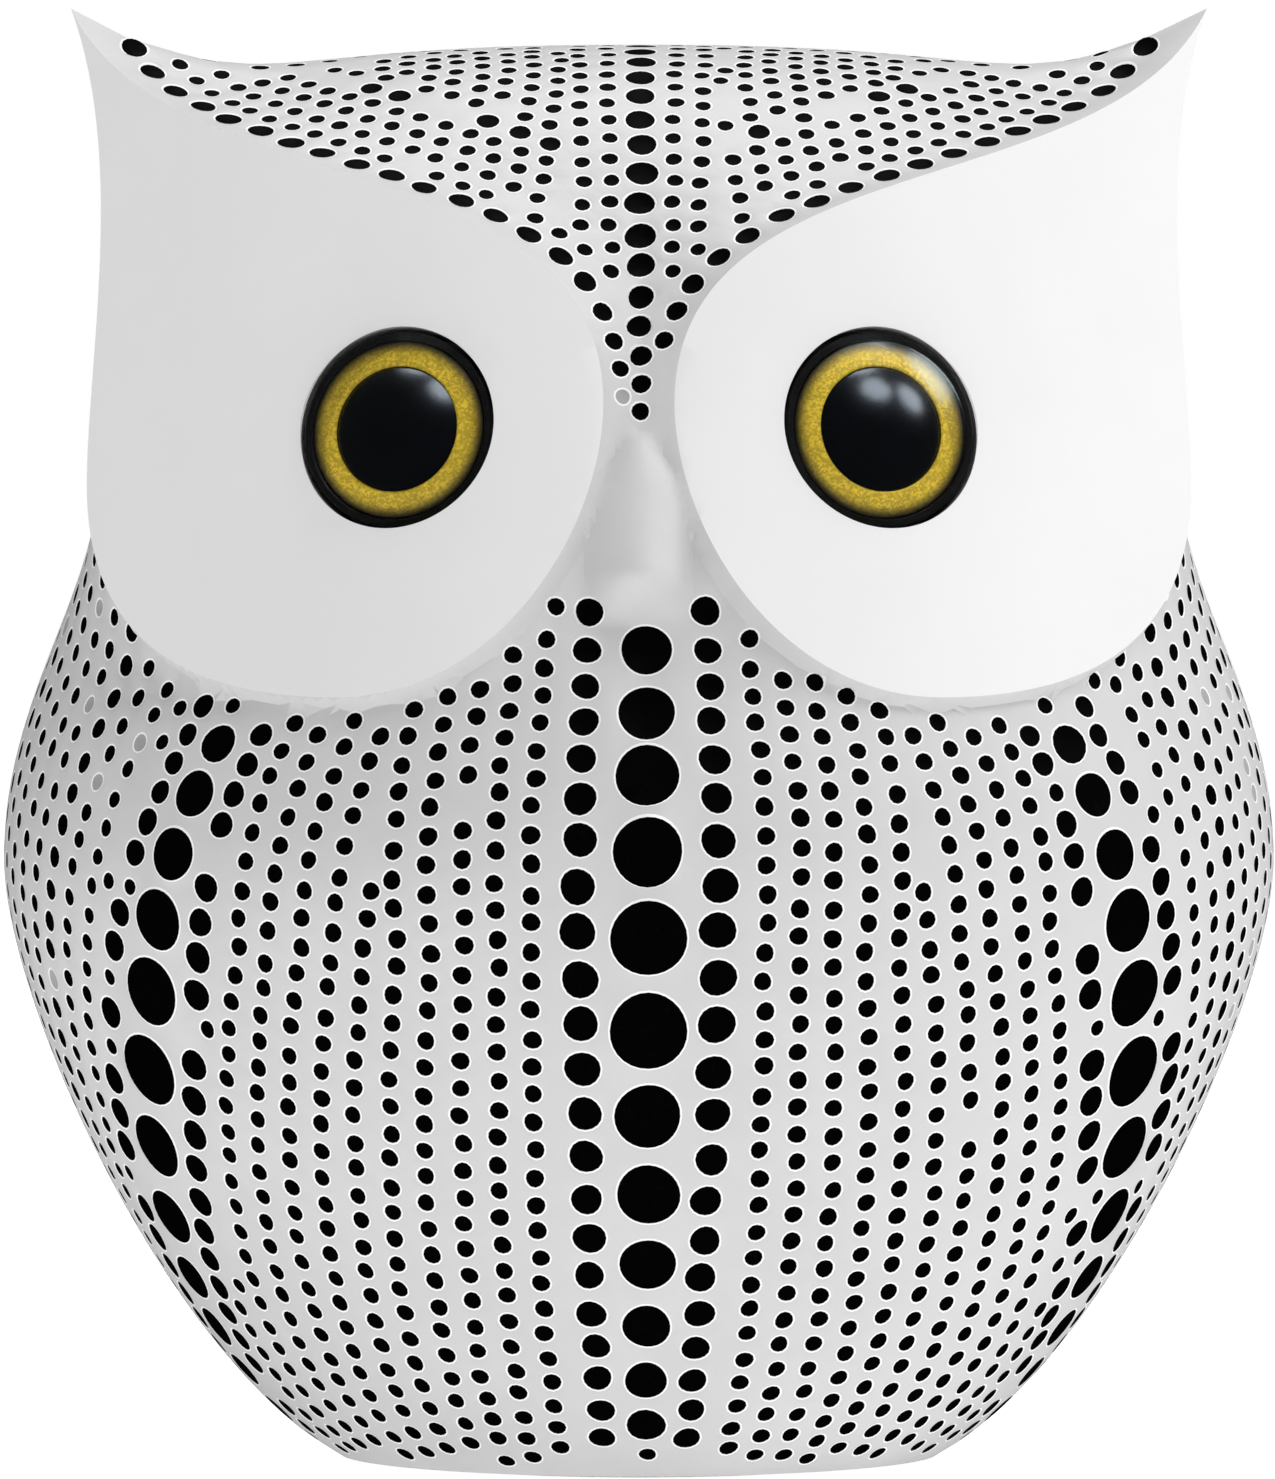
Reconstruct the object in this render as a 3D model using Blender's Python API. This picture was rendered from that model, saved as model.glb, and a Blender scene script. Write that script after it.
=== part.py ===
"""Owl figurine: a hollow cast body with smooth face discs, a closed base and two built-up eyes.

Run with: blender --background --python part.py
Metres, +Z up. The owl faces -Y and stands on the origin. Left is the viewer's left, at -X.
"""

import math

import bmesh
import bpy
import numpy as np
from mathutils import Matrix, Vector
from mathutils.geometry import delaunay_2d_cdt

MM = 0.001

# Body seen from the front: half widths
FOOT_HALF_WIDTH = 21.8 * MM
BELLY_HALF_WIDTH = 46.2 * MM
CHEEK_HALF_WIDTH = 38.2 * MM
# Body seen from the side: reaches forward and back of the middle
FOOT_FRONT = 21.8 * MM
BELLY_FRONT = 40.0 * MM
THROAT_FRONT = 32.4 * MM
FOOT_BACK = 21.8 * MM
BELLY_BACK = 40.0 * MM
NAPE_BACK = 35.5 * MM
# Heights above the table
BELLY_HEIGHT = 43.6 * MM
THROAT_HEIGHT = 66.0 * MM
CHEEK_HEIGHT = 76.0 * MM
CROWN_HEIGHT = 102.6 * MM
HEART_HEIGHT = 62.0 * MM
# Superellipse exponents of the plan shape: round at the belly, squarer at the head
BELLY_SQUARENESS = 2.0
HEAD_SQUARENESS = 2.8

# Face discs: knots of the outline, as distance from the middle and height
EAR_TIP = (41.0 * MM, 105.0 * MM)
DISC_INNER = (2.5 * MM, 76.5 * MM)
DISC_BOTTOM = (21.5 * MM, 55.9 * MM)
DISC_OUTER = (39.5 * MM, 71.0 * MM)
DISC_FRONT = 32.0 * MM
DISC_WRAP_RADIUS = 44.0 * MM
DISC_HOLLOW_RADIUS = 250.0 * MM
DISC_LEAN = math.radians(15.0)
DISC_LIP = 1.2 * MM
LIP_BAND = 0.9 * MM
CHEST_FLARE = 5.0 * MM
EAR_FLARE = 3.6 * MM

# Beak
BEAK_TOP = 74.6 * MM
BEAK_TIP = 64.6 * MM
BEAK_FOOT = 60.8 * MM
BEAK_RISE = 3.4 * MM
BEAK_HALF_WIDTH = 2.9 * MM
BEAK_RIDGE_SHARE = 0.16

# Casting walls
WALL = 5.0 * MM
FACE_WALL = 14.0 * MM
OPENING_RADIUS = 12.0 * MM

# Base plug and pad
PLUG_LIP = 2.0 * MM
PLUG_LIP_THICKNESS = 1.2 * MM
PLUG_THICKNESS = 4.0 * MM
PAD_RADIUS = 17.5 * MM
PAD_THICKNESS = 0.9 * MM
PAD_PROUD = 0.4 * MM

# Eyes
EYE_RADIUS = 7.0 * MM
EYE_SPREAD = 17.2 * MM
EYE_HEIGHT = 74.8 * MM
EYE_YAW = math.radians(19.0)
EYE_PITCH = math.radians(11.0)
SOCKET_DEPTH = 5.0 * MM
CUP_WALL = 0.6 * MM
CUP_FLOOR = 1.6 * MM
CUP_RIM_DEPTH = 0.7 * MM
PUPIL_RADIUS = 4.3 * MM
PUPIL_RISE = 1.6 * MM
IRIS_THICKNESS = 0.8 * MM
IRIS_SLOPE = 0.4 * MM
LENS_RISE = 3.1 * MM
LENS_EDGE = 0.5 * MM
LENS_HOLLOW_RISE = 1.7 * MM

CLEARANCE = 0.3 * MM

# Mesh fineness
COAT_SPACING = 3.3 * MM
BEAK_SPACING = 0.9 * MM
OUTLINE_STEPS = 16
ROUND_STEPS = 32
DOME_STEPS = 5

HEART = np.array((0.0, 0.0, HEART_HEIGHT))

# Heights that follow from the sizes above
PAD_SEAT = PAD_THICKNESS + CLEARANCE
PLUG_BOTTOM = PAD_SEAT
PLUG_SEAT = PLUG_BOTTOM + PLUG_LIP_THICKNESS + CLEARANCE
# The same within an eye, measured out from the face disc
CUP_BOTTOM = CLEARANCE - SOCKET_DEPTH
IRIS_BOTTOM = CUP_BOTTOM + CUP_FLOOR + CLEARANCE
LENS_BOTTOM = CLEARANCE - CUP_RIM_DEPTH

# How full each bend of the body's profile is, as shares of its length
FOOT_BEND = 0.50
FOOT_BEND_HEIGHT = 0.15
BELLY_BEND_BELOW = 0.76
BELLY_BEND_ABOVE = 0.40
NECK_BEND_BELOW = 0.38
SIDE_CROWN_BENDS = (0.84, 0.86)
FRONT_CROWN_BENDS = (0.345, 0.61)
BACK_CROWN_BENDS = (0.65, 0.62)
PROFILE_STEPS = 60

# The body turns from its round belly to its squarer head between these heights
SQUARE_START = BELLY_HEIGHT + 12.0 * MM
SQUARE_END = THROAT_HEIGHT + 6.0 * MM

# How full each bend of a disc's rim is, as shares of the piece it belongs to
EAR_BEND = (0.19, 0.52)
BROW_BEND = 0.34
BEAK_SIDE_BEND = 0.41
CHIN_BEND_INNER = 0.37
CHIN_BEND_OUTER = 0.64
CHEEK_BEND_BELOW = 0.30
CHEEK_BEND_ABOVE = 0.27
EAR_SIDE_BEND = 0.68
EAR_SIDE_INSET = 2.7 * MM

# Rays from the heart are halved this many times, from a reach beyond every part of the owl
RAY_REACH = 0.12
RAY_HALVINGS = 34


def clear_scene():
    """Remove every object that the start-up file holds."""
    for thing in list(bpy.data.objects):
        bpy.data.objects.remove(thing, do_unlink=True)


def ramp(value, low, high):
    """Smooth step of a value from 0 at low to 1 at high."""
    share = np.clip((value - low) / (high - low), 0.0, 1.0)
    return share * share * (3.0 - 2.0 * share)


def bezier(start, first, second, end, steps):
    """Points of one cubic Bezier piece, without its end."""
    share = np.linspace(0.0, 1.0, steps, endpoint=False)[:, None]
    return (
        np.array(start) * (1 - share) ** 3
        + 3 * np.array(first) * share * (1 - share) ** 2
        + 3 * np.array(second) * share**2 * (1 - share)
        + np.array(end) * share**3
    )


def profile(foot, belly, neck, neck_height, bottom, top, rise, spread):
    """Reach of the body over its height: foot to belly, belly to neck, neck to crown."""
    steps = PROFILE_STEPS
    belly_height = BELLY_HEIGHT
    lower = belly_height - bottom
    middle = neck_height - belly_height
    upper = top - neck_height
    pieces = (
        bezier(
            (foot, bottom),
            (foot + FOOT_BEND * (belly - foot), bottom + FOOT_BEND_HEIGHT * lower),
            (belly, bottom + BELLY_BEND_BELOW * lower),
            (belly, belly_height),
            steps,
        ),
        bezier(
            (belly, belly_height),
            (belly, belly_height + BELLY_BEND_ABOVE * middle),
            (neck, neck_height - NECK_BEND_BELOW * middle),
            (neck, neck_height),
            steps,
        ),
        bezier(
            (neck, neck_height),
            (neck, neck_height + rise * upper),
            (neck * spread, top),
            (0.0, top),
            steps,
        ),
        np.array(((0.0, top),)),
    )
    return np.concatenate(pieces)


def body_profiles(wall=0.0, face_wall=0.0):
    """Side, front and back profiles of the outer form, or of the core that leaves these walls."""
    top = CROWN_HEIGHT - wall
    side = profile(
        FOOT_HALF_WIDTH - wall, BELLY_HALF_WIDTH - wall, CHEEK_HALF_WIDTH - wall,
        CHEEK_HEIGHT, PAD_PROUD + wall, top, *SIDE_CROWN_BENDS,
    )
    front = profile(
        FOOT_FRONT - wall, BELLY_FRONT - wall, THROAT_FRONT - face_wall,
        THROAT_HEIGHT, PAD_PROUD + wall, top, *FRONT_CROWN_BENDS,
    )
    back = profile(
        FOOT_BACK - wall, BELLY_BACK - wall, NAPE_BACK - wall,
        CHEEK_HEIGHT, PAD_PROUD + wall, top, *BACK_CROWN_BENDS,
    )
    return side, front, back


def body_distance(points, profiles):
    """Below 1 inside the body, above 1 outside it."""
    side, front, back = profiles
    height = points[:, 2]
    tiny = 1e-6
    half_width = np.interp(height, side[:, 1], side[:, 0]) + tiny
    ahead = np.interp(height, front[:, 1], front[:, 0]) + tiny
    behind = np.interp(height, back[:, 1], back[:, 0]) + tiny
    reach = np.where(points[:, 1] < 0.0, ahead, behind)
    squareness = BELLY_SQUARENESS + (HEAD_SQUARENESS - BELLY_SQUARENESS) * ramp(
        height, SQUARE_START, SQUARE_END
    )
    across = np.abs(points[:, 0] / half_width) ** squareness
    along = np.abs(points[:, 1] / reach) ** squareness
    inside = across + along
    top = side[-1, 1]
    bottom = side[0, 1]
    return np.where((height > top) | (height < bottom), 2.0 + inside, inside)


def march(directions, outside):
    """Distance from the heart at which each ray leaves a form, by halving."""
    near = np.zeros(len(directions))
    far = np.full(len(directions), RAY_REACH)
    for _ in range(RAY_HALVINGS):
        middle = (near + far) / 2
        beyond = outside(HEART + directions * middle[:, None])
        far = np.where(beyond, middle, far)
        near = np.where(beyond, near, middle)
    return near


def disc_depth(points):
    """Where the dished face disc lies in Y for each point's X and Z."""
    up = points[:, 2] - EYE_HEIGHT
    return (
        -DISC_FRONT
        + points[:, 0] ** 2 / (2 * DISC_WRAP_RADIUS)
        + math.tan(DISC_LEAN) * up
        - up**2 / (2 * DISC_HOLLOW_RADIUS)
    )


def disc_outline():
    """The disc's rim seen from the front: ear tip, beak side, bottom, outer side and back to the tip."""
    outer_x, outer_z = DISC_OUTER
    inner_x, inner_z = DISC_INNER
    bottom_x, bottom_z = DISC_BOTTOM
    tip_x, tip_z = EAR_TIP
    brow = tip_z - inner_z
    inner_drop = inner_z - bottom_z
    outer_drop = outer_z - bottom_z
    side = tip_z - outer_z
    pieces = (
        bezier(
            EAR_TIP,
            (tip_x - EAR_BEND[0] * (tip_x - inner_x), tip_z - EAR_BEND[1] * brow),
            (inner_x, tip_z - BROW_BEND * brow),
            DISC_INNER,
            2 * OUTLINE_STEPS,
        ),
        bezier(
            DISC_INNER,
            (inner_x, inner_z - BEAK_SIDE_BEND * inner_drop),
            (inner_x + CHIN_BEND_INNER * (bottom_x - inner_x), bottom_z),
            DISC_BOTTOM,
            OUTLINE_STEPS,
        ),
        bezier(
            DISC_BOTTOM,
            (bottom_x + CHIN_BEND_OUTER * (outer_x - bottom_x), bottom_z),
            (outer_x, bottom_z + CHEEK_BEND_BELOW * outer_drop),
            DISC_OUTER,
            OUTLINE_STEPS,
        ),
        bezier(
            DISC_OUTER,
            (outer_x, outer_z + CHEEK_BEND_ABOVE * side),
            (outer_x - EAR_SIDE_INSET, outer_z + EAR_SIDE_BEND * side),
            EAR_TIP,
            OUTLINE_STEPS,
        ),
    )
    return np.concatenate(pieces)


def on_disc(outline):
    """Points in space of an outline drawn on the face disc."""
    points = np.column_stack((outline[:, 0], np.zeros(len(outline)), outline[:, 1]))
    points[:, 1] = disc_depth(points)
    return points


def widened(outline, margin):
    """An outline moved outwards by a margin, seen from the front."""
    along = np.roll(outline, -1, axis=0) - np.roll(outline, 1, axis=0)
    along /= np.linalg.norm(along, axis=1)[:, None]
    outwards = np.column_stack((along[:, 1], -along[:, 0]))
    return outline + margin * outwards * turn_sign(outline)


def turn_sign(outline):
    """1 where the outline runs anticlockwise, -1 where it runs clockwise."""
    after = np.roll(outline, -1, axis=0)
    area = np.sum(outline[:, 0] * after[:, 1] - outline[:, 1] * after[:, 0])
    return 1.0 if area > 0 else -1.0


def to_directions(points):
    """Unit directions from the heart to points."""
    away = points - HEART
    return away / np.linalg.norm(away, axis=1)[:, None]


def to_map(directions):
    """Stereographic map of directions: the crown is in the middle, the foot is the outer rim."""
    return directions[:, :2] / (1.0 + directions[:, 2:3])


def from_map(places):
    """Directions of places on the stereographic map."""
    square = np.sum(places**2, axis=1)[:, None]
    return np.column_stack((2 * places, 1.0 - square)) / (1.0 + square)


class Rim:
    """The rims of both face discs, and how far the coat is drawn out to meet them."""

    def __init__(self, profiles):
        right = on_disc(disc_outline())
        left = right * np.array((-1.0, 1.0, 1.0))
        points = np.concatenate((right, left))
        self.directions = to_directions(points)
        self.reach = np.linalg.norm(points - HEART, axis=1)
        body = march(self.directions, lambda at: body_distance(at, profiles) > 1.0)
        self.lip = DISC_LIP * (1.0 - ramp(points[:, 2], THROAT_HEIGHT, CHEEK_HEIGHT))
        self.draw = self.reach - self.lip - body
        self.flare = CHEST_FLARE + (EAR_FLARE - CHEST_FLARE) * ramp(
            points[:, 2], THROAT_HEIGHT, CHEEK_HEIGHT
        )

    def pull(self, directions, body):
        """How much further out the coat lies than the plain body in each direction."""
        closeness = directions @ self.directions.T
        nearest = np.argmax(closeness, axis=1)
        angle = np.arccos(np.clip(closeness[np.arange(len(nearest)), nearest], -1.0, 1.0))
        return self.draw[nearest] * np.exp(-angle * body / self.flare[nearest])


def beak_rise(points):
    """How far the beak stands out from the coat."""
    up = (BEAK_TOP - points[:, 2]) / (BEAK_TOP - BEAK_TIP)
    ridge = np.clip(up, 0.0, 1.0) ** 0.8 * ramp(points[:, 2], BEAK_FOOT, BEAK_TIP)
    half_width = BEAK_HALF_WIDTH * (0.25 + 0.75 * ramp(up, 0.0, 0.6))
    aside = np.abs(points[:, 0]) / half_width
    edge = math.hypot(1.0, BEAK_RIDGE_SHARE)
    slope = (edge - np.hypot(aside, BEAK_RIDGE_SHARE)) / (edge - BEAK_RIDGE_SHARE)
    side = np.maximum(slope, 0.0)
    return np.where(points[:, 1] < 0.0, BEAK_RISE * ridge * side, 0.0)


def coat_points(directions, profiles, rim):
    """Points of the dotted coat in each direction from the heart."""
    body = march(directions, lambda at: body_distance(at, profiles) > 1.0)
    reach = body + rim.pull(directions, body)
    plain = HEART + directions * reach[:, None]
    return plain + directions * beak_rise(plain)[:, None]


def disc_points(directions):
    """Points of the face discs in each direction from the heart."""
    reach = march(directions, lambda at: at[:, 1] < disc_depth(at))
    return HEART + directions * reach[:, None]


def inside_outline(places, loop):
    """Which places lie inside a closed loop of the map, by counting crossings."""
    inside = np.zeros(len(places), bool)
    for start, end in zip(loop, np.roll(loop, -1, axis=0)):
        spans = (start[1] > places[:, 1]) != (end[1] > places[:, 1])
        if start[1] == end[1]:
            continue
        crossing = start[0] + (places[:, 1] - start[1]) * (end[0] - start[0]) / (end[1] - start[1])
        inside ^= spans & (places[:, 0] < crossing)
    return inside


def scattered(spacing, reach, low_height):
    """Rings of directions about the upright axis, a spacing apart at this reach, down to a height."""
    step = spacing / reach
    lowest = math.pi - math.atan2(FOOT_HALF_WIDTH, HEART_HEIGHT - low_height)
    directions = [(0.0, 0.0, 1.0)]
    rings = max(2, round(lowest / step))
    for ring in range(1, rings):
        slant = lowest * ring / rings
        count = 2 * max(3, round(math.pi * math.sin(slant) / step))
        for place in range(count):
            turn = math.tau * (place + 0.5 * (ring % 2)) / count
            directions.append(
                (math.sin(slant) * math.sin(turn), -math.sin(slant) * math.cos(turn), math.cos(slant))
            )
    return np.array(directions)


def beak_grid():
    """Directions of a fine grid over the beak."""
    points = []
    rows = round((BEAK_TOP - BEAK_FOOT) / BEAK_SPACING) + 2
    columns = round(1.2 * BEAK_HALF_WIDTH / BEAK_SPACING)
    for row in range(rows + 1):
        for column in range(-columns, columns + 1):
            points.append(
                (column * BEAK_SPACING, -THROAT_FRONT, BEAK_FOOT + (row - 1) * BEAK_SPACING)
            )
    return to_directions(np.array(points))


def apart(directions, others, gap):
    """The directions that are further than an angle from every one of the others."""
    closest = np.max(directions @ others.T, axis=1)
    return directions[closest < math.cos(gap)]


def casting_shell():
    """Vertices and triangles of the casting's outside, closed by a flat base."""
    profiles = body_profiles()
    rim = Rim(profiles)
    outline = disc_outline()
    loops = []
    for side in (1.0, -1.0):
        mirror = np.array((side, 1.0, 1.0))
        loops.append(to_directions(on_disc(outline) * mirror))
    feet = []
    for side in (1.0, -1.0):
        mirror = np.array((side, 1.0, 1.0))
        feet.append(to_directions(on_disc(widened(outline, LIP_BAND)) * mirror))
    foot_turns = np.arange(2 * ROUND_STEPS) * math.tau / (2 * ROUND_STEPS)
    foot = np.column_stack(
        (
            FOOT_HALF_WIDTH * np.sin(foot_turns),
            -np.where(np.cos(foot_turns) > 0, FOOT_FRONT, FOOT_BACK) * np.cos(foot_turns),
            np.full(len(foot_turns), PAD_PROUD),
        )
    )
    foot_directions = to_directions(foot)

    fixed = np.concatenate(loops + feet + [foot_directions])
    beak = beak_grid()
    coat = scattered(COAT_SPACING, BELLY_FRONT, PAD_PROUD)
    loose = apart(coat, np.concatenate((fixed, beak)), 0.5 * COAT_SPACING / BELLY_FRONT)
    beak = apart(beak, fixed, 0.5 * BEAK_SPACING / BELLY_FRONT)
    directions = np.concatenate((fixed, beak, loose))

    edges = []
    start = 0
    for loop in loops + feet + [foot_directions]:
        count = len(loop)
        edges += [(start + i, start + (i + 1) % count) for i in range(count)]
        start += count

    places = to_map(directions)
    found = delaunay_2d_cdt(
        [Vector(place) for place in places.tolist()], edges, [], 0, 1e-9
    )
    places = np.array([tuple(place) for place in found[0]])
    triangles = np.array(found[2])
    directions = from_map(places)

    on_face = np.zeros(len(places), bool)
    for loop in loops:
        on_face |= inside_outline(places, to_map(loop))
    sources = [origin[0] if origin else -1 for origin in found[3]]
    rim_count = sum(len(loop) for loop in loops)
    for index, source in enumerate(sources):
        if 0 <= source < rim_count:
            on_face[index] = True
    points = coat_points(directions, profiles, rim)
    points[on_face] = disc_points(directions[on_face])
    return points, triangles


def new_object(name, mesh):
    """A named object for a mesh, linked to the scene."""
    thing = bpy.data.objects.new(name, mesh)
    bpy.context.scene.collection.objects.link(thing)
    return thing


def finish_mesh(mesh, name, sharp_angle=math.radians(35.0)):
    """Turn a bmesh with its faces outwards into a smooth shaded mesh."""
    bmesh.ops.recalc_face_normals(mesh, faces=mesh.faces)
    data = bpy.data.meshes.new(name)
    mesh.to_mesh(data)
    mesh.free()
    data.shade_smooth()
    data.set_sharp_from_angle(angle=sharp_angle)
    return data


def material(name, colour, roughness, metallic=0.0, transmission=0.0):
    """A plain Principled material."""
    finish = bpy.data.materials.new(name)
    finish.use_nodes = True
    shader = finish.node_tree.nodes["Principled BSDF"]
    shader.inputs["Base Color"].default_value = (*colour, 1.0)
    shader.inputs["Roughness"].default_value = roughness
    shader.inputs["Metallic"].default_value = metallic
    shader.inputs["Transmission Weight"].default_value = transmission
    finish.diffuse_color = (*colour, 1.0)
    return finish


def as_cutter(thing):
    """Mark an object as a guide that only cuts others."""
    thing.hide_render = True
    thing.display_type = "WIRE"
    return thing


def cut(thing, cutter):
    """Take a cutter out of an object."""
    step = thing.modifiers.new(cutter.name, "BOOLEAN")
    step.operation = "DIFFERENCE"
    step.solver = "EXACT"
    step.object = cutter


def turned(name, outline):
    """A solid of revolution about its own Z from (radius, height) points, which run down the outside."""
    mesh = bmesh.new()
    points = [mesh.verts.new((radius, 0.0, height)) for radius, height in outline]
    edges = [mesh.edges.new(pair) for pair in zip(points, points[1:] + points[:1])]
    bmesh.ops.spin(
        mesh, geom=points + edges, axis=(0, 0, 1), cent=(0, 0, 0),
        angle=math.tau, steps=ROUND_STEPS, use_merge=True,
    )
    bmesh.ops.remove_doubles(mesh, verts=mesh.verts, dist=0.001 * MM)
    bmesh.ops.dissolve_degenerate(mesh, edges=mesh.edges, dist=0.001 * MM)
    return finish_mesh(mesh, name)


def cap_arc(radius, height, base):
    """Points of a dome's outline from its middle down to its rim."""
    sphere = (radius**2 + height**2) / (2 * height)
    widest = math.asin(min(1.0, radius / sphere))
    points = []
    for step in range(DOME_STEPS + 1):
        slant = widest * step / DOME_STEPS
        points.append((sphere * math.sin(slant), base + height - sphere * (1 - math.cos(slant))))
    return points


def make_casting():
    """The hollow casting: outer form less its core, its base opening, pad recess and eye sockets."""
    points, triangles = casting_shell()
    mesh = bmesh.new()
    corners = [mesh.verts.new(point) for point in points.tolist()]
    for triangle in triangles.tolist():
        mesh.faces.new([corners[index] for index in triangle])
    rim = [edge for edge in mesh.edges if edge.is_boundary]
    bmesh.ops.contextual_create(mesh, geom=rim)
    casting = new_object("body_casting", finish_mesh(mesh, "body_casting"))
    cut(casting, make_core())
    cut(casting, make_opening())
    for side in (-1.0, 1.0):
        cut(casting, make_socket(side))
    casting.data.materials.append(material("cast_resin", (0.80, 0.80, 0.80), 0.5))
    return casting


def make_core():
    """Cutter: the hollow that the casting's core leaves, thicker walled behind the face."""
    profiles = body_profiles(WALL, FACE_WALL)
    mesh = bmesh.new()
    bmesh.ops.create_icosphere(mesh, subdivisions=3, radius=1.0)
    directions = np.array([tuple(corner.co) for corner in mesh.verts])
    reach = march(directions, lambda at: body_distance(at, profiles) > 1.0)
    for corner, place in zip(mesh.verts, (HEART + directions * reach[:, None]).tolist()):
        corner.co = place
    return as_cutter(new_object("cutter_core", finish_mesh(mesh, "cutter_core")))


def make_opening():
    """Cutter: the base opening with its rebate for the plug's lip and the shallow recess for the pad."""
    outline = (
        (0.0, PAD_PROUD + 3 * WALL),
        (OPENING_RADIUS, PAD_PROUD + 3 * WALL),
        (OPENING_RADIUS, PLUG_SEAT),
        (OPENING_RADIUS + PLUG_LIP, PLUG_SEAT),
        (OPENING_RADIUS + PLUG_LIP, PAD_SEAT),
        (PAD_RADIUS + CLEARANCE, PAD_SEAT),
        (PAD_RADIUS + CLEARANCE, -WALL),
        (0.0, -WALL),
    )
    return as_cutter(new_object("cutter_opening", turned("cutter_opening", outline)))


def eye_place(side):
    """Matrix of an eye: its origin on the face disc, its Z out along the eye's axis."""
    middle = np.array(((side * EYE_SPREAD, 0.0, EYE_HEIGHT),))
    depth = float(disc_depth(middle)[0])
    turn = Matrix.Rotation(side * EYE_YAW, 4, "Z") @ Matrix.Rotation(math.pi / 2 - EYE_PITCH, 4, "X")
    return Matrix.Translation((side * EYE_SPREAD, depth, EYE_HEIGHT)) @ turn


def make_socket(side):
    """Cutter: the round socket for one eye."""
    outline = (
        (0.0, SOCKET_DEPTH),
        (EYE_RADIUS + CLEARANCE, SOCKET_DEPTH),
        (EYE_RADIUS + CLEARANCE, -SOCKET_DEPTH),
        (0.0, -SOCKET_DEPTH),
    )
    name = "cutter_socket_left" if side < 0 else "cutter_socket_right"
    socket = as_cutter(new_object(name, turned(name, outline)))
    socket.matrix_world = eye_place(side)
    return socket


def make_plug():
    """The stopper in the base opening, with a lip that seats in the rebate."""
    stem = OPENING_RADIUS - CLEARANCE
    lip = OPENING_RADIUS + PLUG_LIP - CLEARANCE
    outline = (
        (0.0, PLUG_BOTTOM + PLUG_THICKNESS),
        (stem, PLUG_BOTTOM + PLUG_THICKNESS),
        (stem, PLUG_BOTTOM + PLUG_LIP_THICKNESS),
        (lip, PLUG_BOTTOM + PLUG_LIP_THICKNESS),
        (lip, PLUG_BOTTOM),
        (0.0, PLUG_BOTTOM),
    )
    plug = new_object("base_plug", turned("base_plug", outline))
    plug.data.materials.append(material("plug_plastic", (0.75, 0.75, 0.74), 0.5))
    return plug


def make_pad():
    """The thin pad that the owl rests on."""
    outline = ((0.0, PAD_THICKNESS), (PAD_RADIUS, PAD_THICKNESS), (PAD_RADIUS, 0.0), (0.0, 0.0))
    pad = new_object("base_pad", turned("base_pad", outline))
    pad.data.materials.append(material("pad_foam", (0.62, 0.62, 0.60), 0.9))
    return pad


def make_cup():
    """The black cup that backs an eye and shows as its dark rim."""
    floor = CUP_BOTTOM + CUP_FLOOR
    outline = (
        (0.0, floor),
        (EYE_RADIUS - CUP_WALL, floor),
        (EYE_RADIUS - CUP_WALL, -CUP_RIM_DEPTH),
        (EYE_RADIUS, -CUP_RIM_DEPTH),
        (EYE_RADIUS, CUP_BOTTOM),
        (0.0, CUP_BOTTOM),
    )
    return turned("eye_cup", outline)


def make_iris():
    """The gold ring round the pupil, rising a little towards it."""
    outer = EYE_RADIUS - CUP_WALL - CLEARANCE
    inner = PUPIL_RADIUS + CLEARANCE
    outline = (
        (inner, IRIS_BOTTOM + IRIS_THICKNESS + IRIS_SLOPE),
        (outer, IRIS_BOTTOM + IRIS_THICKNESS),
        (outer, IRIS_BOTTOM),
        (inner, IRIS_BOTTOM),
    )
    return turned("iris_ring", outline)


def make_pupil():
    """The black pupil, a low dome on a short stem."""
    shoulder = IRIS_BOTTOM + IRIS_THICKNESS
    outline = cap_arc(PUPIL_RADIUS, PUPIL_RISE, shoulder) + [
        (PUPIL_RADIUS, IRIS_BOTTOM),
        (0.0, IRIS_BOTTOM),
    ]
    return turned("pupil", outline)


def make_lens():
    """The clear cap over the iris and pupil, hollow underneath."""
    hollow = cap_arc(EYE_RADIUS - CUP_WALL, LENS_HOLLOW_RISE, LENS_BOTTOM)
    outline = cap_arc(EYE_RADIUS, LENS_RISE, LENS_BOTTOM + LENS_EDGE)
    outline.append((EYE_RADIUS, LENS_BOTTOM))
    outline += hollow[::-1]
    return turned("eye_lens", outline)


def make_eyes():
    """Four pieces for each eye, placed in its socket."""
    pieces = (
        ("eye_cup", make_cup(), material("eye_black", (0.01, 0.01, 0.01), 0.25)),
        ("iris_ring", make_iris(), material("iris_gold", (0.52, 0.36, 0.03), 0.35, metallic=0.8)),
        ("pupil", make_pupil(), material("pupil_black", (0.002, 0.002, 0.003), 0.05)),
        ("eye_lens", make_lens(), material("lens_clear", (1.0, 1.0, 1.0), 0.0, transmission=1.0)),
    )
    for kind, mesh, finish in pieces:
        mesh.materials.append(finish)
        for side, word in ((-1.0, "left"), (1.0, "right")):
            eye = new_object(f"{kind}_{word}", mesh)
            eye.matrix_world = eye_place(side)


def main():
    """Build every piece of the owl."""
    clear_scene()
    make_casting()
    make_plug()
    make_pad()
    make_eyes()


if __name__ == "__main__":
    main()
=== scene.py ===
"""Looks of the owl figurine: dotted coat, smooth face discs, domed eyes, plug, pad and studio.

Metres, +Z up. The owl faces -Y and stands on the origin. Left is the viewer's left, at -X.
The dots are real dimples in the casting's mesh, with the paint laid inside them.
"""

import math

import bmesh
import bpy
import numpy as np
from bpy.props import FloatProperty, FloatVectorProperty, IntProperty, PointerProperty
from mathutils import Matrix, Vector
from mathutils.geometry import delaunay_2d_cdt


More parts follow.
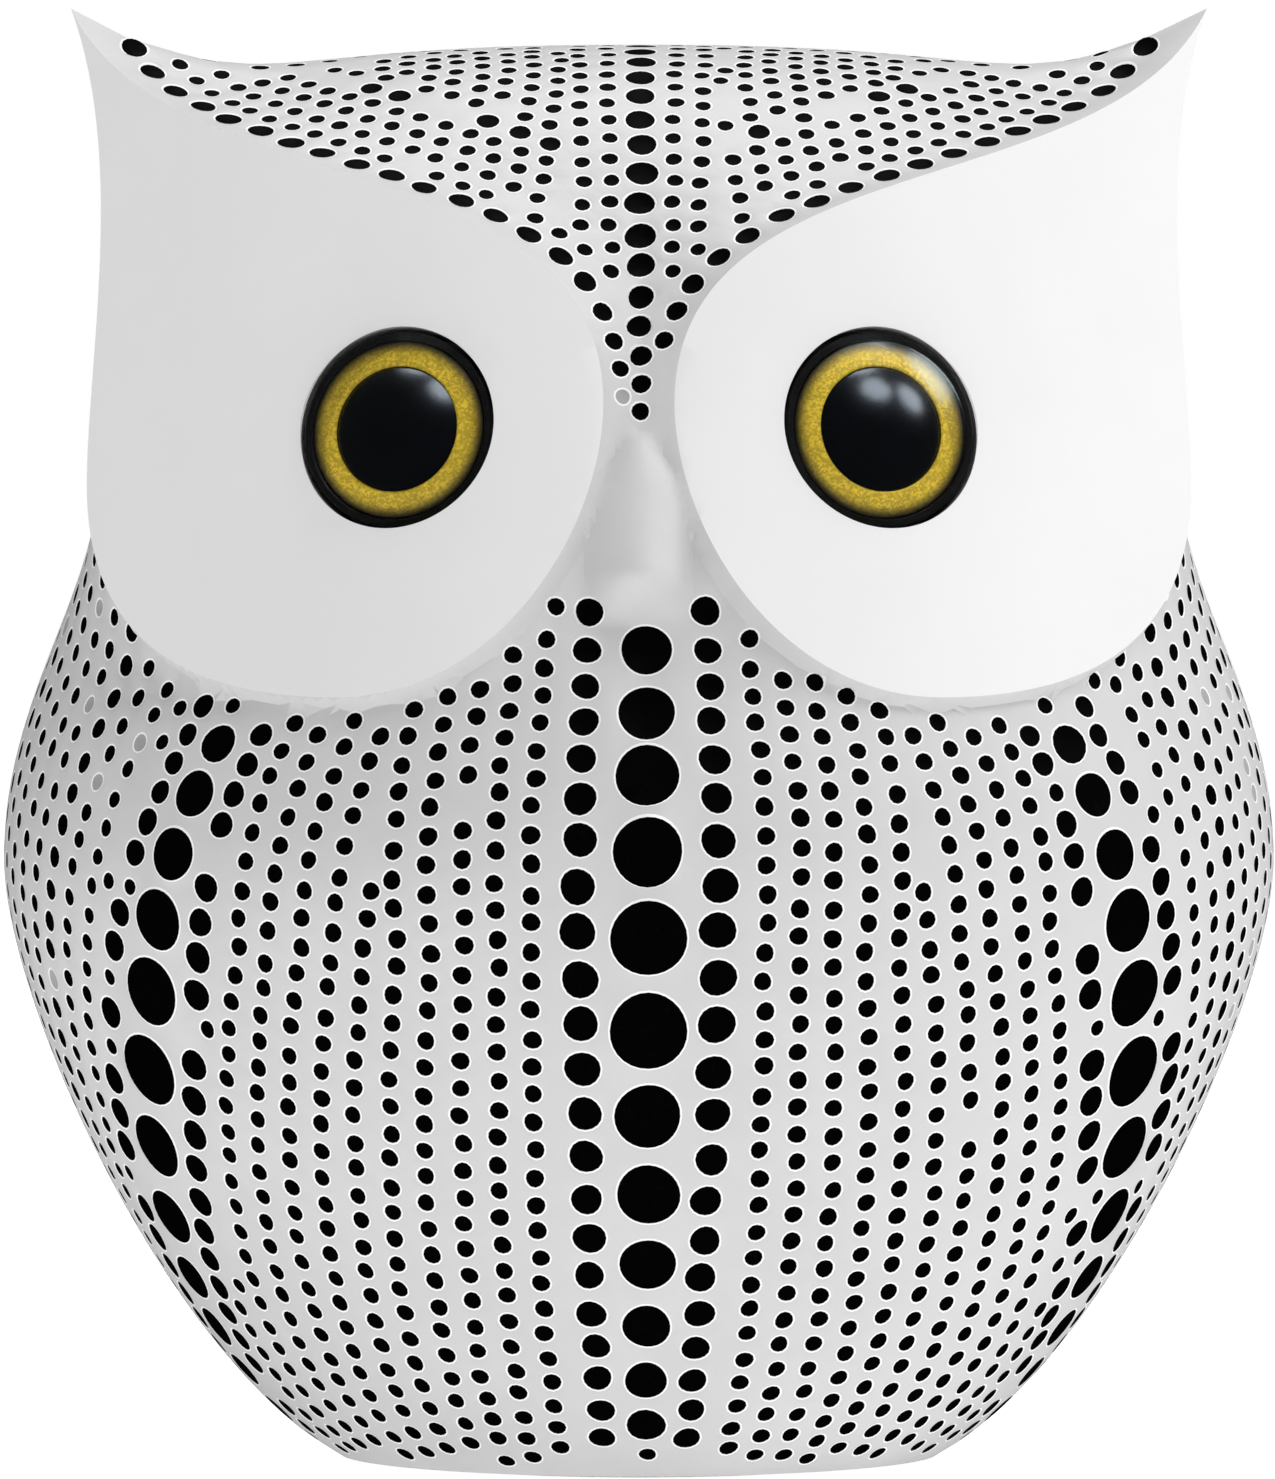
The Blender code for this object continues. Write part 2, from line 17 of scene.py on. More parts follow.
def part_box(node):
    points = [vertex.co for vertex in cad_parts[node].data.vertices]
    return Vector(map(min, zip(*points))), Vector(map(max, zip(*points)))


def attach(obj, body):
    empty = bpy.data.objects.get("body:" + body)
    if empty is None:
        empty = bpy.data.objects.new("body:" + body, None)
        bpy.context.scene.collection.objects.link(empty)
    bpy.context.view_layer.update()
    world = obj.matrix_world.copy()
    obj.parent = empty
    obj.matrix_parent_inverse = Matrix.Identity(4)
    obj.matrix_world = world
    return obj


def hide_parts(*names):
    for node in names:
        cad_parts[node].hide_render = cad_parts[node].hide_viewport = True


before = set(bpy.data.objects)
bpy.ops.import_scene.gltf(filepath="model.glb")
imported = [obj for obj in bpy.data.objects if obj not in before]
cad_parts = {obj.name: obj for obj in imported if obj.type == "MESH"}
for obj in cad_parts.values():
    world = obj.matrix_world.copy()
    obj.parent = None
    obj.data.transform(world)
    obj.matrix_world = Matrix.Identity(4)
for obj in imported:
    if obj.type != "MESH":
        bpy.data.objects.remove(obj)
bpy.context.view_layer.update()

bl_info = {
    "name": "Owl Figurine Looks",
    "version": (1, 0, 0),
    "blender": (4, 5, 0),
    "location": "3D View > Sidebar > Owl",
    "description": "Builds the painted owl figurine round its CAD frame",
    "category": "Object",
}

MM = 0.001

# The casting's own sizes, which the CAD model shares
FOOT_HALF_WIDTH = 21.8 * MM
BELLY_HALF_WIDTH = 46.2 * MM
CHEEK_HALF_WIDTH = 38.2 * MM
FOOT_DEPTH = 21.8 * MM
BELLY_DEPTH = 40.0 * MM
THROAT_FRONT = 32.4 * MM
NAPE_BACK = 35.5 * MM
BELLY_HEIGHT = 43.6 * MM
THROAT_HEIGHT = 66.0 * MM
CHEEK_HEIGHT = 76.0 * MM
CROWN_HEIGHT = 102.6 * MM
HEART_HEIGHT = 62.0 * MM
BELLY_SQUARENESS = 2.0
HEAD_SQUARENESS = 2.8
EAR_TIP = (41.0 * MM, 105.0 * MM)
DISC_INNER = (2.5 * MM, 76.5 * MM)
DISC_BOTTOM = (21.5 * MM, 55.9 * MM)
DISC_OUTER = (39.5 * MM, 71.0 * MM)
DISC_FRONT = 32.0 * MM
DISC_WRAP_RADIUS = 44.0 * MM
DISC_HOLLOW_RADIUS = 250.0 * MM
DISC_LEAN = math.radians(15.0)
DISC_LIP = 1.2 * MM
LIP_BAND = 0.9 * MM
CHEST_FLARE = 5.0 * MM
EAR_FLARE = 3.6 * MM
BEAK_TOP = 74.6 * MM
BEAK_TIP = 64.6 * MM
BEAK_FOOT = 60.8 * MM
BEAK_RISE = 3.4 * MM
BEAK_HALF_WIDTH = 3.9 * MM
WALL = 5.0 * MM
FACE_WALL = 14.0 * MM
OPENING_RADIUS = 12.0 * MM
PLUG_LIP = 2.0 * MM
PLUG_SEAT = 2.7 * MM
PAD_RADIUS = 17.8 * MM
PAD_SEAT = 1.2 * MM
PAD_PROUD = 0.4 * MM
EYE_RADIUS = 7.0 * MM
EYE_SPREAD = 17.2 * MM
EYE_HEIGHT = 74.8 * MM
EYE_YAW = math.radians(19.0)
EYE_PITCH = math.radians(11.0)
SOCKET_DEPTH = 5.0 * MM
CLEARANCE = 0.3 * MM

# How the body's profiles, squareness and disc outline bend, as shares of each piece's run
PROFILE_STEPS = 60
FOOT_BEND = (0.50, 0.15)
BELLY_BEND_BELOW = 0.76
BELLY_BEND_ABOVE = 0.40
NECK_BEND_BELOW = 0.38
SIDE_CROWN_BENDS = (0.84, 0.86)
FRONT_CROWN_BENDS = (0.345, 0.61)
BACK_CROWN_BENDS = (0.65, 0.62)
SQUARE_START = BELLY_HEIGHT + 12 * MM
SQUARE_END = THROAT_HEIGHT + 6 * MM
EAR_BEND = (0.19, 0.52)
BROW_BEND = 0.34
BEAK_SIDE_BEND = 0.41
CHIN_BEND_INNER = 0.37
CHIN_BEND_OUTER = 0.64
CHEEK_BEND_BELOW = 0.30
CHEEK_BEND_ABOVE = 0.27
EAR_SIDE_BEND = 0.68
EAR_SIDE_PULL = 2.7 * MM
FILLET_REACH = 1.25 * LIP_BAND
BEAK_RIDGE_POWER = 0.8
BEAK_ROUNDNESS = 1.5
BEAK_TOP_SHARE = 0.3
BEAK_WIDEST_AT = 0.55

# How a ray from the heart finds the surface, and how directions are compared
RAY_REACH = 0.12
RAY_HALVINGS = 30
RIM_SHARPNESS = 20.0
BATCH = 4000

# How the casting's skin is meshed
SKIN_SPACING = 1.5 * MM
TYPICAL_REACH = 42.0 * MM
SHORT_REACH = 36.0 * MM
LOOP_MARGIN = 0.55 * MM
LIP_MARGIN = 2.5
DOT_MARGIN = 1.1
FILLET_SHARES = (0.35, 0.7, 1.1)
MAP_TOLERANCE = 1e-10
LIP_DEPTH = 0.035 * MM
DIMPLE_SHARE = 0.28
DIMPLE_DEPTH = 0.42 * MM

NORMAL_STEP = 0.004
BEAK_SPACING = 0.42 * MM
BEAK_COLUMNS = 10
CORE_ROWS = 26
CASTING_SHARP = math.radians(28.0)
TURNED_SHARP = math.radians(30.0)

# How a dot's outline is cut: corners by radius, and the unevenness of its edge
BIG_DOT = 1.5 * MM
MEDIUM_DOT = 0.8 * MM
DOT_CORNERS = (28, 16, 12, 8)
REAR_START = 0.1
UNEVEN_TWICE = 0.035
UNEVEN_THRICE = 0.025
UNEVEN_RADIUS = 1.0 * MM

OUTLINE_STEPS = 60
ROUND_STEPS = 96
SIDES = (-1.0, 1.0)
HEART = np.array((0.0, 0.0, HEART_HEIGHT))

# The eyes' turned pieces, with heights along the eye's own axis from the face disc
CUP_WALL = 0.6 * MM
CUP_BOTTOM = CLEARANCE - SOCKET_DEPTH
CUP_FLOOR = CUP_BOTTOM + 1.6 * MM
CUP_RIM = -0.7 * MM
IRIS_BOTTOM = CUP_FLOOR + CLEARANCE
PUPIL_RADIUS = 4.45 * MM
PUPIL_EDGE = 2.2 * MM
PUPIL_DOME = 1.6 * MM
IRIS_INNER = PUPIL_RADIUS + 0.05 * MM
IRIS_OUTER = EYE_RADIUS - CUP_WALL - 0.08 * MM
IRIS_HEIGHTS = (2.25 * MM, 2.3 * MM, 2.0 * MM, 1.9 * MM)
LENS_BOTTOM = CLEARANCE + CUP_RIM
LENS_EDGE = 0.5 * MM
LENS_DOME = 3.1 * MM
LENS_HOLLOW = 1.7 * MM
SOFT_EDGE = 0.12 * MM
DOME_STEPS = 24

# The studio
LIGHTS = (
    ("key", (0.34, -0.32, 0.95), 0.5),
    ("side", (0.85, 0.0, 0.76), 0.5),
    ("top", (0.0, 0.25, 1.1), 0.6),
)
LIGHT_AIM = Vector((0.0, 0.0, 0.06))
CAMERA_AIM = Vector((-0.1 * MM, 0.0, 52.22 * MM))
FLOOR_RINGS = (0.05, 0.4, 3.0)
FLOOR_GLOW = 0.75
REFLECTED_ROOM = 0.12
WHITE = (1.0, 1.0, 1.0)


# ---------------------------------------------------------------- settings


class OwlDotSettings(bpy.types.PropertyGroup):
    """Sizes of the dots in the coat."""

    small_radius: FloatProperty(
        name="Small Dot Radius", description="Radius of the many small dots",
        default=0.66 * MM, unit="LENGTH", precision=5,
    )
    centre_radius: FloatProperty(
        name="Breast Dot Radius", description="Radius of the largest dot down the breast",
        default=2.72 * MM, unit="LENGTH", precision=5,
    )
    wing_radius: FloatProperty(
        name="Wing Dot Radius", description="Radius of the largest dot along each wing",
        default=2.66 * MM, unit="LENGTH", precision=5,
    )
    pitch: FloatProperty(
        name="Dot Pitch", description="Distance between small dots along a column",
        default=2.07 * MM, unit="LENGTH", precision=5,
    )
    # The lip band round each dot is coloured brighter than the coat as a painted highlight.
    lip: FloatProperty(
        name="Dot Lip", description="Width of the bright lip of paint round a dot",
        default=0.135 * MM, unit="LENGTH", precision=5,
    )
    turn: FloatProperty(
        name="Pattern Turn", description="How far the pattern sits round from the middle",
        default=math.radians(1.0), subtype="ANGLE",
    )
    seed: IntProperty(
        name="Seed", description="Picks the hand-painted unevenness of the dots", default=7
    )


class OwlColourSettings(bpy.types.PropertyGroup):
    """Colours of the finishes."""

    coat: FloatVectorProperty(
        name="Coat", description="Colour of the dotted coat",
        default=(0.60, 0.60, 0.605), subtype="COLOR", size=3,
    )
    face: FloatVectorProperty(
        name="Face", description="Colour of the smooth face discs",
        default=(0.775, 0.775, 0.78), subtype="COLOR", size=3,
    )
    paint: FloatVectorProperty(
        name="Dot Paint", description="Colour of the paint in the dots",
        default=(0.0009, 0.0009, 0.0009), subtype="COLOR", size=3,
    )
    gold: FloatVectorProperty(
        name="Iris Gold", description="Colour of the flakes in the eye's ring",
        default=(0.76, 0.54, 0.04), subtype="COLOR", size=3,
    )


class OwlStageSettings(bpy.types.PropertyGroup):
    """Studio light and camera."""

    key_power: FloatProperty(
        name="Key Power", description="Power of the soft light from the upper right",
        default=3.2, subtype="POWER",
    )
    side_power: FloatProperty(
        name="Side Power", description="Power of the soft light from the right",
        default=3.0, subtype="POWER",
    )
    top_power: FloatProperty(
        name="Top Power", description="Power of the soft light above the crown",
        default=5.0, subtype="POWER",
    )
    room: FloatProperty(
        name="Room Light", description="Strength of the even light all round", default=0.37
    )
    distance: FloatProperty(
        name="Camera Distance", description="From the owl's middle to the camera",
        default=0.9, unit="LENGTH",
    )
    elevation: FloatProperty(
        name="Camera Elevation", description="Angle of the camera above level",
        default=math.radians(1.3), subtype="ANGLE",
    )
    azimuth: FloatProperty(
        name="Camera Azimuth", description="Angle of the camera round from the front",
        default=0.0, subtype="ANGLE",
    )
    roll: FloatProperty(
        name="Camera Roll", description="Tilt of the camera about its view",
        default=0.0, subtype="ANGLE",
    )
    span: FloatProperty(
        name="View Width", description="Width that the camera sees at the owl",
        default=92.56 * MM, unit="LENGTH", precision=5,
    )


class OwlSettings(bpy.types.PropertyGroup):
    """Everything a user would change about the owl."""

    dots: PointerProperty(type=OwlDotSettings)
    colours: PointerProperty(type=OwlColourSettings)
    stage: PointerProperty(type=OwlStageSettings)


# ---------------------------------------------------------------- the casting's form


def ramp(value, low, high):
    """Smooth step of a value from 0 at low to 1 at high."""
    share = np.clip((value - low) / (high - low), 0.0, 1.0)
    return share * share * (3.0 - 2.0 * share)


def bezier(start, first, second, end, steps):
    """Points of one cubic Bezier piece, without its end."""
    share = np.linspace(0.0, 1.0, steps, endpoint=False)[:, None]
    return (
        np.array(start) * (1 - share) ** 3
        + 3 * np.array(first) * share * (1 - share) ** 2
        + 3 * np.array(second) * share**2 * (1 - share)
        + np.array(end) * share**3
    )


def profile(foot, belly, neck, neck_height, bottom, top, crown_bends):
    """Reach of the body over its height: foot to belly, belly to neck, neck to crown."""
    steps = PROFILE_STEPS
    foot_out, foot_up = FOOT_BEND
    rise, spread = crown_bends
    lower = BELLY_HEIGHT - bottom
    middle = neck_height - BELLY_HEIGHT
    upper = top - neck_height
    pieces = (
        bezier(
            (foot, bottom),
            (foot + foot_out * (belly - foot), bottom + foot_up * lower),
            (belly, bottom + BELLY_BEND_BELOW * lower),
            (belly, BELLY_HEIGHT),
            steps,
        ),
        bezier(
            (belly, BELLY_HEIGHT),
            (belly, BELLY_HEIGHT + BELLY_BEND_ABOVE * middle),
            (neck, neck_height - NECK_BEND_BELOW * middle),
            (neck, neck_height),
            steps,
        ),
        bezier(
            (neck, neck_height),
            (neck, neck_height + rise * upper),
            (neck * spread, top),
            (0.0, top),
            steps,
        ),
        np.array(((0.0, top),)),
    )
    return np.concatenate(pieces)


def body_profiles(wall=0.0, face_wall=0.0):
    """Side, front and back profiles of the outer form, or of the core that leaves these walls."""
    top = CROWN_HEIGHT - wall
    bottom = PAD_PROUD + wall
    side = profile(
        FOOT_HALF_WIDTH - wall, BELLY_HALF_WIDTH - wall, CHEEK_HALF_WIDTH - wall,
        CHEEK_HEIGHT, bottom, top, SIDE_CROWN_BENDS,
    )
    front = profile(
        FOOT_DEPTH - wall, BELLY_DEPTH - wall, THROAT_FRONT - face_wall,
        THROAT_HEIGHT, bottom, top, FRONT_CROWN_BENDS,
    )
    back = profile(
        FOOT_DEPTH - wall, BELLY_DEPTH - wall, NAPE_BACK - wall,
        CHEEK_HEIGHT, bottom, top, BACK_CROWN_BENDS,
    )
    return side, front, back


def section(height, profiles):
    """Half width, reach ahead, reach behind and squareness of the body at each height."""
    side, front, back = profiles
    tiny = 1e-6
    half_width = np.interp(height, side[:, 1], side[:, 0]) + tiny
    ahead = np.interp(height, front[:, 1], front[:, 0]) + tiny
    behind = np.interp(height, back[:, 1], back[:, 0]) + tiny
    squareness = BELLY_SQUARENESS + (HEAD_SQUARENESS - BELLY_SQUARENESS) * ramp(
        height, SQUARE_START, SQUARE_END
    )
    return half_width, ahead, behind, squareness


def body_distance(points, profiles):
    """Below 1 inside the body, above 1 outside it."""
    height = points[:, 2]
    half_width, ahead, behind, squareness = section(height, profiles)
    reach = np.where(points[:, 1] < 0.0, ahead, behind)
    inside = (
        np.abs(points[:, 0] / half_width) ** squareness
        + np.abs(points[:, 1] / reach) ** squareness
    )
    top = profiles[0][-1, 1]
    bottom = profiles[0][0, 1]
    return np.where((height > top) | (height < bottom), 2.0 + inside, inside)


def march(directions, outside):
    """Distance from the heart at which each ray leaves a form, by halving."""
    near = np.zeros(len(directions))
    far = np.full(len(directions), RAY_REACH)
    for _ in range(RAY_HALVINGS):
        middle = (near + far) / 2
        beyond = outside(HEART + directions * middle[:, None])
        far = np.where(beyond, middle, far)
        near = np.where(beyond, near, middle)
    return near


def disc_depth(points):
    """Where the dished face disc lies in Y for each point's X and Z."""
    up = points[:, 2] - EYE_HEIGHT
    return (
        -DISC_FRONT
        + points[:, 0] ** 2 / (2 * DISC_WRAP_RADIUS)
        + math.tan(DISC_LEAN) * up
        - up**2 / (2 * DISC_HOLLOW_RADIUS)
    )


def disc_outline(steps=OUTLINE_STEPS):
    """The disc's rim seen from the front: ear tip, beak side, bottom, outer side and back to the tip."""
    outer_x, outer_z = DISC_OUTER
    inner_x, inner_z = DISC_INNER
    bottom_x, bottom_z = DISC_BOTTOM
    tip_x, tip_z = EAR_TIP
    ear_in, ear_down = EAR_BEND
    brow = tip_z - inner_z
    inner_drop = inner_z - bottom_z
    outer_drop = outer_z - bottom_z
    side = tip_z - outer_z
    pieces = (
        bezier(
            EAR_TIP,
            (tip_x - ear_in * (tip_x - inner_x), tip_z - ear_down * brow),
            (inner_x, tip_z - BROW_BEND * brow),
            DISC_INNER,
            2 * steps,
        ),
        bezier(
            DISC_INNER,
            (inner_x, inner_z - BEAK_SIDE_BEND * inner_drop),
            (inner_x + CHIN_BEND_INNER * (bottom_x - inner_x), bottom_z),
            DISC_BOTTOM,
            steps,
        ),
        bezier(
            DISC_BOTTOM,
            (bottom_x + CHIN_BEND_OUTER * (outer_x - bottom_x), bottom_z),
            (outer_x, bottom_z + CHEEK_BEND_BELOW * outer_drop),
            DISC_OUTER,
            steps,
        ),
        bezier(
            DISC_OUTER,
            (outer_x, outer_z + CHEEK_BEND_ABOVE * side),
            (outer_x - EAR_SIDE_PULL, outer_z + EAR_SIDE_BEND * side),
            EAR_TIP,
            steps,
        ),
    )
    return np.concatenate(pieces)


def on_disc(outline):
    """Points in space of an outline drawn on the face disc."""
    points = np.column_stack((outline[:, 0], np.zeros(len(outline)), outline[:, 1]))
    points[:, 1] = disc_depth(points)
    return points


def disc_rim(side, margin=0.0, every=1):
    """Points of one disc's rim, or of the outline that far outside it. Side is -1 or 1 in X."""
    outline = widened(disc_outline(), margin)[::every] if margin else disc_outline()
    return on_disc(outline) * np.array((side, 1.0, 1.0))


def widened(outline, margin):
    """An outline moved outwards by a margin, seen from the front."""
    along = np.roll(outline, -1, axis=0) - np.roll(outline, 1, axis=0)
    along /= np.linalg.norm(along, axis=1)[:, None]
    outwards = np.column_stack((along[:, 1], -along[:, 0]))
    after = np.roll(outline, -1, axis=0)
    area = np.sum(outline[:, 0] * after[:, 1] - outline[:, 1] * after[:, 0])
    return outline + margin * outwards * math.copysign(1.0, area)


def round_turns(steps, shift=0.0):
    """Angles of evenly spaced steps round a circle, shifted by a share of a step."""
    return (np.arange(steps) + shift) * math.tau / steps


def level_loop(half_width, depth, height):
    """A closed level loop of points round the middle."""
    turns = round_turns(ROUND_STEPS)
    return np.column_stack(
        (half_width * np.sin(turns), -depth * np.cos(turns), np.full(ROUND_STEPS, height))
    )


def level_directions(slant, turns):
    """Directions at one angle from straight up, turned round from the front."""
    return np.column_stack(
        (
            math.sin(slant) * np.sin(turns),
            -math.sin(slant) * np.cos(turns),
            np.full(len(turns), math.cos(slant)),
        )
    )


def to_directions(points):
    """Unit directions from the heart to points."""
    away = points - HEART
    return away / np.linalg.norm(away, axis=1)[:, None]


def to_map(directions):
    """Stereographic map of directions: the crown is in the middle, the foot is the outer rim."""
    return directions[:, :2] / (1.0 + directions[:, 2:3])


def from_map(places):
    """Directions of places on the stereographic map."""
    square = np.sum(places**2, axis=1)[:, None]
    return np.column_stack((2 * places, 1.0 - square)) / (1.0 + square)


def nearest(directions, others):
    """Index of, and angle to, the nearest of the other directions, worked out in batches."""
    index = np.zeros(len(directions), int)
    angle = np.zeros(len(directions))
    for start in range(0, len(directions), BATCH):
        part = slice(start, start + BATCH)
        closeness = directions[part] @ others.T
        best = np.argmax(closeness, axis=1)
        index[part] = best
        top = closeness[np.arange(len(best)), best]
        angle[part] = np.arccos(np.clip(top, -1.0, 1.0))
    return index, angle


class Form:
    """The casting's outside: the body, drawn out to the rims of the face discs, and the discs."""

    def __init__(self):
        self.profiles = body_profiles()
        points = np.concatenate((disc_rim(1.0), disc_rim(-1.0)))
        self.rim = to_directions(points)
        body = self.body_reach(self.rim)
        self.lip = DISC_LIP * (1.0 - ramp(points[:, 2], THROAT_HEIGHT, CHEEK_HEIGHT))
        self.draw = np.linalg.norm(points - HEART, axis=1) - self.lip - body
        self.flare = CHEST_FLARE + (EAR_FLARE - CHEST_FLARE) * ramp(
            points[:, 2], THROAT_HEIGHT, CHEEK_HEIGHT
        )

    def body_reach(self, directions):
        """Distance from the heart to the plain body."""
        return march(directions, lambda at: body_distance(at, self.profiles) > 1.0)

    def coat(self, directions):
        """Points of the dotted coat, with a soft fillet up to the discs' rims."""
        body = self.body_reach(directions)
        pull = np.zeros(len(directions))
        fillet = np.zeros(len(directions))
        for start in range(0, len(directions), BATCH):
            part = slice(start, start + BATCH)
            closeness = np.clip(directions[part] @ self.rim.T, -1.0, 1.0)
            closest = closeness.max(axis=1)[:, None]
            sharpness = RIM_SHARPNESS / (np.arccos(closest) ** 2 + 1e-6)
            weight = np.exp((closeness - closest) * sharpness)
            weight /= weight.sum(axis=1)[:, None]
            away = np.arccos(closeness) * body[part][:, None]
            pull[part] = np.sum(weight * self.draw * np.exp(-away / self.flare), axis=1)
            fillet[part] = np.sum(
                weight * self.lip * (1.0 - ramp(away, 0.0, FILLET_REACH)), axis=1
            )
        plain = HEART + directions * (body + pull + fillet)[:, None]
        return plain + directions * beak_rise(plain)[:, None]

    def discs(self, directions):
        """Points of the face discs."""
        reach = march(directions, lambda at: at[:, 1] < disc_depth(at))
        return HEART + directions * reach[:, None]


def beak_rise(points):
    """How far the beak stands out from the coat."""
    up = (BEAK_TOP - points[:, 2]) / (BEAK_TOP - BEAK_TIP)
    ridge = np.clip(up, 0.0, 1.0) ** BEAK_RIDGE_POWER * ramp(points[:, 2], BEAK_FOOT, BEAK_TIP)
    half_width = BEAK_HALF_WIDTH * (
        BEAK_TOP_SHARE + (1.0 - BEAK_TOP_SHARE) * ramp(up, 0.0, BEAK_WIDEST_AT)
    )
    aside = np.minimum(np.abs(points[:, 0]) / half_width, 1.0)
    rise = BEAK_RISE * ridge * (1.0 - aside**2) ** BEAK_ROUNDNESS
    return np.where(points[:, 1] < 0.0, rise, 0.0)


def inside_outline(places, loop):
    """Which places lie inside a closed loop of the map, by counting crossings."""
    inside = np.zeros(len(places), bool)
    for start, end in zip(loop, np.roll(loop, -1, axis=0)):
        if start[1] == end[1]:
            continue
        spans = (start[1] > places[:, 1]) != (end[1] > places[:, 1])
        crossing = start[0] + (places[:, 1] - start[1]) * (end[0] - start[0]) / (end[1] - start[1])
        inside ^= spans & (places[:, 0] < crossing)
    return inside


# ---------------------------------------------------------------- where the dots go

# Room between dots, and round the discs, the beak and the foot
DOT_GAP = 0.42 * MM
DISC_MARGIN = 0.55 * MM
UNDER_BEAK = 0.4 * MM
OVER_BEAK = 0.6 * MM
BESIDE_BEAK = (2.3 * MM, 2.6 * MM)
BEAK_REGION = 12 * MM
FOOT_MARGIN = 0.25 * MM

# Unevenness of the hand that cut the dots
HAND_JITTER = 0.07 * MM
HAND_SIZES = (0.955, 1.045)

# The breast's lines, with heights in millimetres from their top to their foot
BREAST_HEIGHTS = (62.3, 0.8)
BREAST_STEPS = 420
BREAST_TOP = 59.3 * MM
BREAST_SPACING = 1.08 * MM
BREAST_BESIDE = math.radians(7.0)

# The wings' lines: azimuth in degrees, then how it grows per millimetre and per square millimetre
WING_TOP = 54 * MM
WING_FOOT = 1.0 * MM
WING_SWING = (46.5, 0.3465, 0.00605)
WING_SPACING = 1.2 * MM
WING_BESIDE = 1.15 * MM
WING_SPREAD = 0.25
LINE_STEPS = 400

# Small columns between breast and wings, in degrees of azimuth
COLUMN_HEIGHTS = (60.0, 0.8)
COLUMN_STEPS = 500
COLUMN_BELLY = 38 * MM
COLUMN_START = 11.8
COLUMN_STEP = 3.48
COLUMN_LEAN = 4.0
BREAST_COLUMNS = 13
STRAIGHT_COLUMNS = 4

# Small columns behind the wings
SIDE_COLUMNS = 40
SIDE_START = math.radians(10.2)
SIDE_STEP = math.radians(3.7)
SIDE_END = math.radians(178.5)
SIDE_STRETCH = 1.06
REAR_SHRINK = 0.95
ACCENT_GROWTH = 1.22

# The crown's lines
CROWN_START = math.radians(-66.0)
CROWN_STEPS = 500
CROWN_SHIFT = 0.2 * MM
CROWN_SHRINK = 0.9
EDGE_OFFSET = 1.95 * MM
EDGE_DRAWN_IN = 0.5 * MM
STRAIGHT_LINES = (2.55 * MM, 4.75 * MM)
FAN_ROWS = 18
ACCENT_ROW = 5

# Level rows on the back, and the last filling
BACK_ROWS = 44
BACK_START = math.radians(4.0)
BACK_STEP = math.radians(2.9)
BACK_SPACING = 2.5 * MM
FILL_SPACING = 0.8 * MM
FILL_RADIUS = 0.62 * MM
FILL_GAP = 0.74 * MM

# Dots that the brush missed
FLANK = 0.8
MISSED_SHARE = 0.06
MISSED_RADIUS = 1.0 * MM
BARE_HEIGHT = 76.8 * MM
BARE_REACH = 1.3 * MM
BARE_RADIUS = 0.75 * MM
BARE_ACROSS = (0.9 * MM, 3.5 * MM)


def swelling(heights, radii):
    """A rule for a dot's radius by its height: at the line's foot, at its widest, at its top."""
    low, peak, high = heights
    small, large, top = radii

    def radius(height):
        rising = small + (large - small) * ramp(height, low, peak)
        falling = large + (top - large) * ramp(height, peak, high)
        return np.where(height < peak, rising, falling)

    return radius


def around(azimuth, height, profiles):
    """Directions of places on the body, by azimuth from the front and height."""
    half_width, ahead, behind, squareness = section(height, profiles)
    reach = np.where(np.cos(azimuth) > 0, ahead, behind)
    spread = (
        np.abs(np.sin(azimuth) / half_width) ** squareness
        + np.abs(np.cos(azimuth) / reach) ** squareness
    ) ** (-1.0 / squareness)
    points = np.column_stack((spread * np.sin(azimuth), -spread * np.cos(azimuth), height))
    return to_directions(points)


def wing_azimuth(height):
    """The line of big dots along a wing: it swings back as it goes down."""
    drop = (WING_TOP - height) / MM
    turn, lean, curve = WING_SWING
    return np.radians(turn + lean * drop + curve * drop**2)


